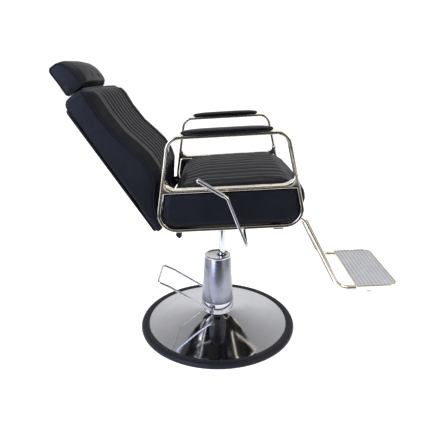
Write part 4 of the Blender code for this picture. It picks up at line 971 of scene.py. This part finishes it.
inset = 0.0043
tread_top = rim_high - 0.004
start = tread_rear + inset
long = tread_long - 2 * inset
section = [(start, tread_top - 0.003), (start, tread_top)]
rib_count = 10
pitch = long / rib_count
for rib in range(rib_count):
    left = start + pitch * (rib + 0.22)
    right = start + pitch * (rib + 0.78)
    section += [(left, tread_top), (left + 0.0007, tread_top + 0.0022),
                (left + 0.0018, tread_top + 0.0030), (right - 0.0018, tread_top + 0.0030),
                (right - 0.0007, tread_top + 0.0022), (right, tread_top)]
section += [(start + long, tread_top), (start + long, tread_top - 0.003)]
tread = plate([section], -tread_half + inset, tread_half - inset, 0.0)
keeper = plate([tread_outline(inset, 0.026)], rim_low - 0.01, rim_high + 0.01, 0.0)
keeper.data.transform(lie)
keeper.data.flip_normals()
apply(tread, "BOOLEAN", operation="INTERSECT", object=keeper)
bpy.data.objects.remove(keeper)
fit(tread, "ribbed_tread", "seat", aluminium, ["footrest_tread"], seat_place, 25)

bumper_low = rim_low - 0.015
bumper_high = tread_top - 0.0034
for side, name in sides:
    bumper = lathe([(0.0002, bumper_high), (0.0123, bumper_high), (0.0125, rim_low - 0.004),
                    (0.0120, bumper_low + 0.0035), (0.0108, bumper_low + 0.0012), (0.0090, bumper_low),
                    (0.0002, bumper_low)], (tread_rear + 0.052, side * (tread_half - 0.030)), 48)
    fit(bumper, "tread_bumper_" + name, "seat", charcoal_rubber,
        ["footrest_bumper_" + name], seat_place)


# ---- Studio ----
# A pale floor that gives off light of its own, a sky that is dimmer overhead, four area lamps
# and five dark screens, which show only in gloss and cast no shadow. None of it is the chair's.

floor_paint, tree, shader, here = new_material("pale_floor")
wear = add(tree, "TexNoise", {"Scale": 2.0, "Detail": 3.0}, {"Vector": here})
shade = add(tree, "ValToRGB", {}, {"Fac": wear.outputs["Fac"]})
shade.color_ramp.elements[0].color = linear("#f6f6f6")
shade.color_ramp.elements[1].color = linear("#fbfbfb")
tree.links.new(shade.outputs["Color"], shader.inputs["Base Color"])
shader.inputs["Roughness"].default_value = 0.9
shader.inputs["Specular IOR Level"].default_value = 0.1
shader.inputs["Emission Color"].default_value = linear("#ffffff")
shader.inputs["Emission Strength"].default_value = 0.6
bpy.ops.mesh.primitive_plane_add(size=30, location=(0, 0, -0.0005))
floor = bpy.context.object
floor.name = "floor"
floor.data.materials.append(floor_paint)
floor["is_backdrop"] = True

screen_paint = new_material("dark_screen")[0]
screen_paint.node_tree.nodes["Principled BSDF"].inputs["Base Color"].default_value = linear("#17181c")
for name, at, size, turn in (("screen_front", (0.4, -3.4, 1.3), (4.4, 2.4), (math.pi / 2, 0, 0)),
                             ("screen_low", (0.2, -2.15, 0.002), (4.4, 2.5), (0, 0, 0)),
                             ("screen_low_left", (-1.9, 0.0, 0.002), (1.2, 1.8), (0, 0, 0)),
                             ("screen_low_right", (2.1, 0.0, 0.002), (1.2, 1.8), (0, 0, 0)),
                             ("screen_right", (3.4, -1.0, 1.1), (1.6, 1.6), (math.pi / 2, 0, math.pi / 2))):
    bpy.ops.mesh.primitive_plane_add(size=1, location=at, rotation=turn)
    screen = bpy.context.object
    screen.name = name
    screen.scale = (*size, 1)
    screen.data.materials.append(screen_paint)
    screen.visible_camera = False
    screen.visible_shadow = False
    screen.visible_diffuse = False
    screen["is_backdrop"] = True

world = bpy.data.worlds.new("studio")
bpy.context.scene.world = world
world.use_nodes = True
sky = world.node_tree.nodes["Background"]
sky.inputs["Color"].default_value = linear("#ffffff")
way = add(world.node_tree, "TexCoord", {})
parts = add(world.node_tree, "SeparateXYZ", {}, {0: way.outputs["Generated"]})
dim = add(world.node_tree, "MapRange", {"From Min": 0.25, "From Max": 0.85, "To Min": 1.03, "To Max": 0.4},
          {"Value": parts.outputs["Z"]})
world.node_tree.links.new(dim.outputs["Result"], sky.inputs["Strength"])

for name, at, size, power, colour in (("key_lamp", (-2.2, -2.0, 2.6), 1.8, 55, "#dfe8ff"),
                                      ("side_lamp", (-1.9, -2.9, 1.0), 1.5, 60, "#c6d4ff"),
                                      ("fill_lamp", (2.2, -1.2, 2.2), 1.6, 25, "#fff2dd"),
                                      ("top_lamp", (0.1, 0.6, 3.2), 2.0, 30, "#ffffff")):
    lamp_data = bpy.data.lights.new(name, "AREA")
    lamp_data.size = size
    lamp_data.energy = power
    lamp_data.color = linear(colour)[:3]
    lamp = bpy.data.objects.new(name, lamp_data)
    bpy.context.scene.collection.objects.link(lamp)
    lamp.location = at
    lamp.rotation_euler = (Vector((0, 0, 0.5)) - Vector(at)).to_track_quat("-Z", "Y").to_euler()

view_data = bpy.data.cameras.new("camera")
view_data.lens = 35.6
view_data.sensor_width = 36.0
camera = bpy.data.objects.new("camera", view_data)
bpy.context.scene.collection.objects.link(camera)
camera.location = (0.012, -1.492, 0.934)
camera.rotation_euler = (math.radians(90 - 18.07), 0, math.radians(0.85))
bpy.context.scene.camera = camera
bpy.context.scene.view_settings.view_transform = "Standard"

low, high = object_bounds()
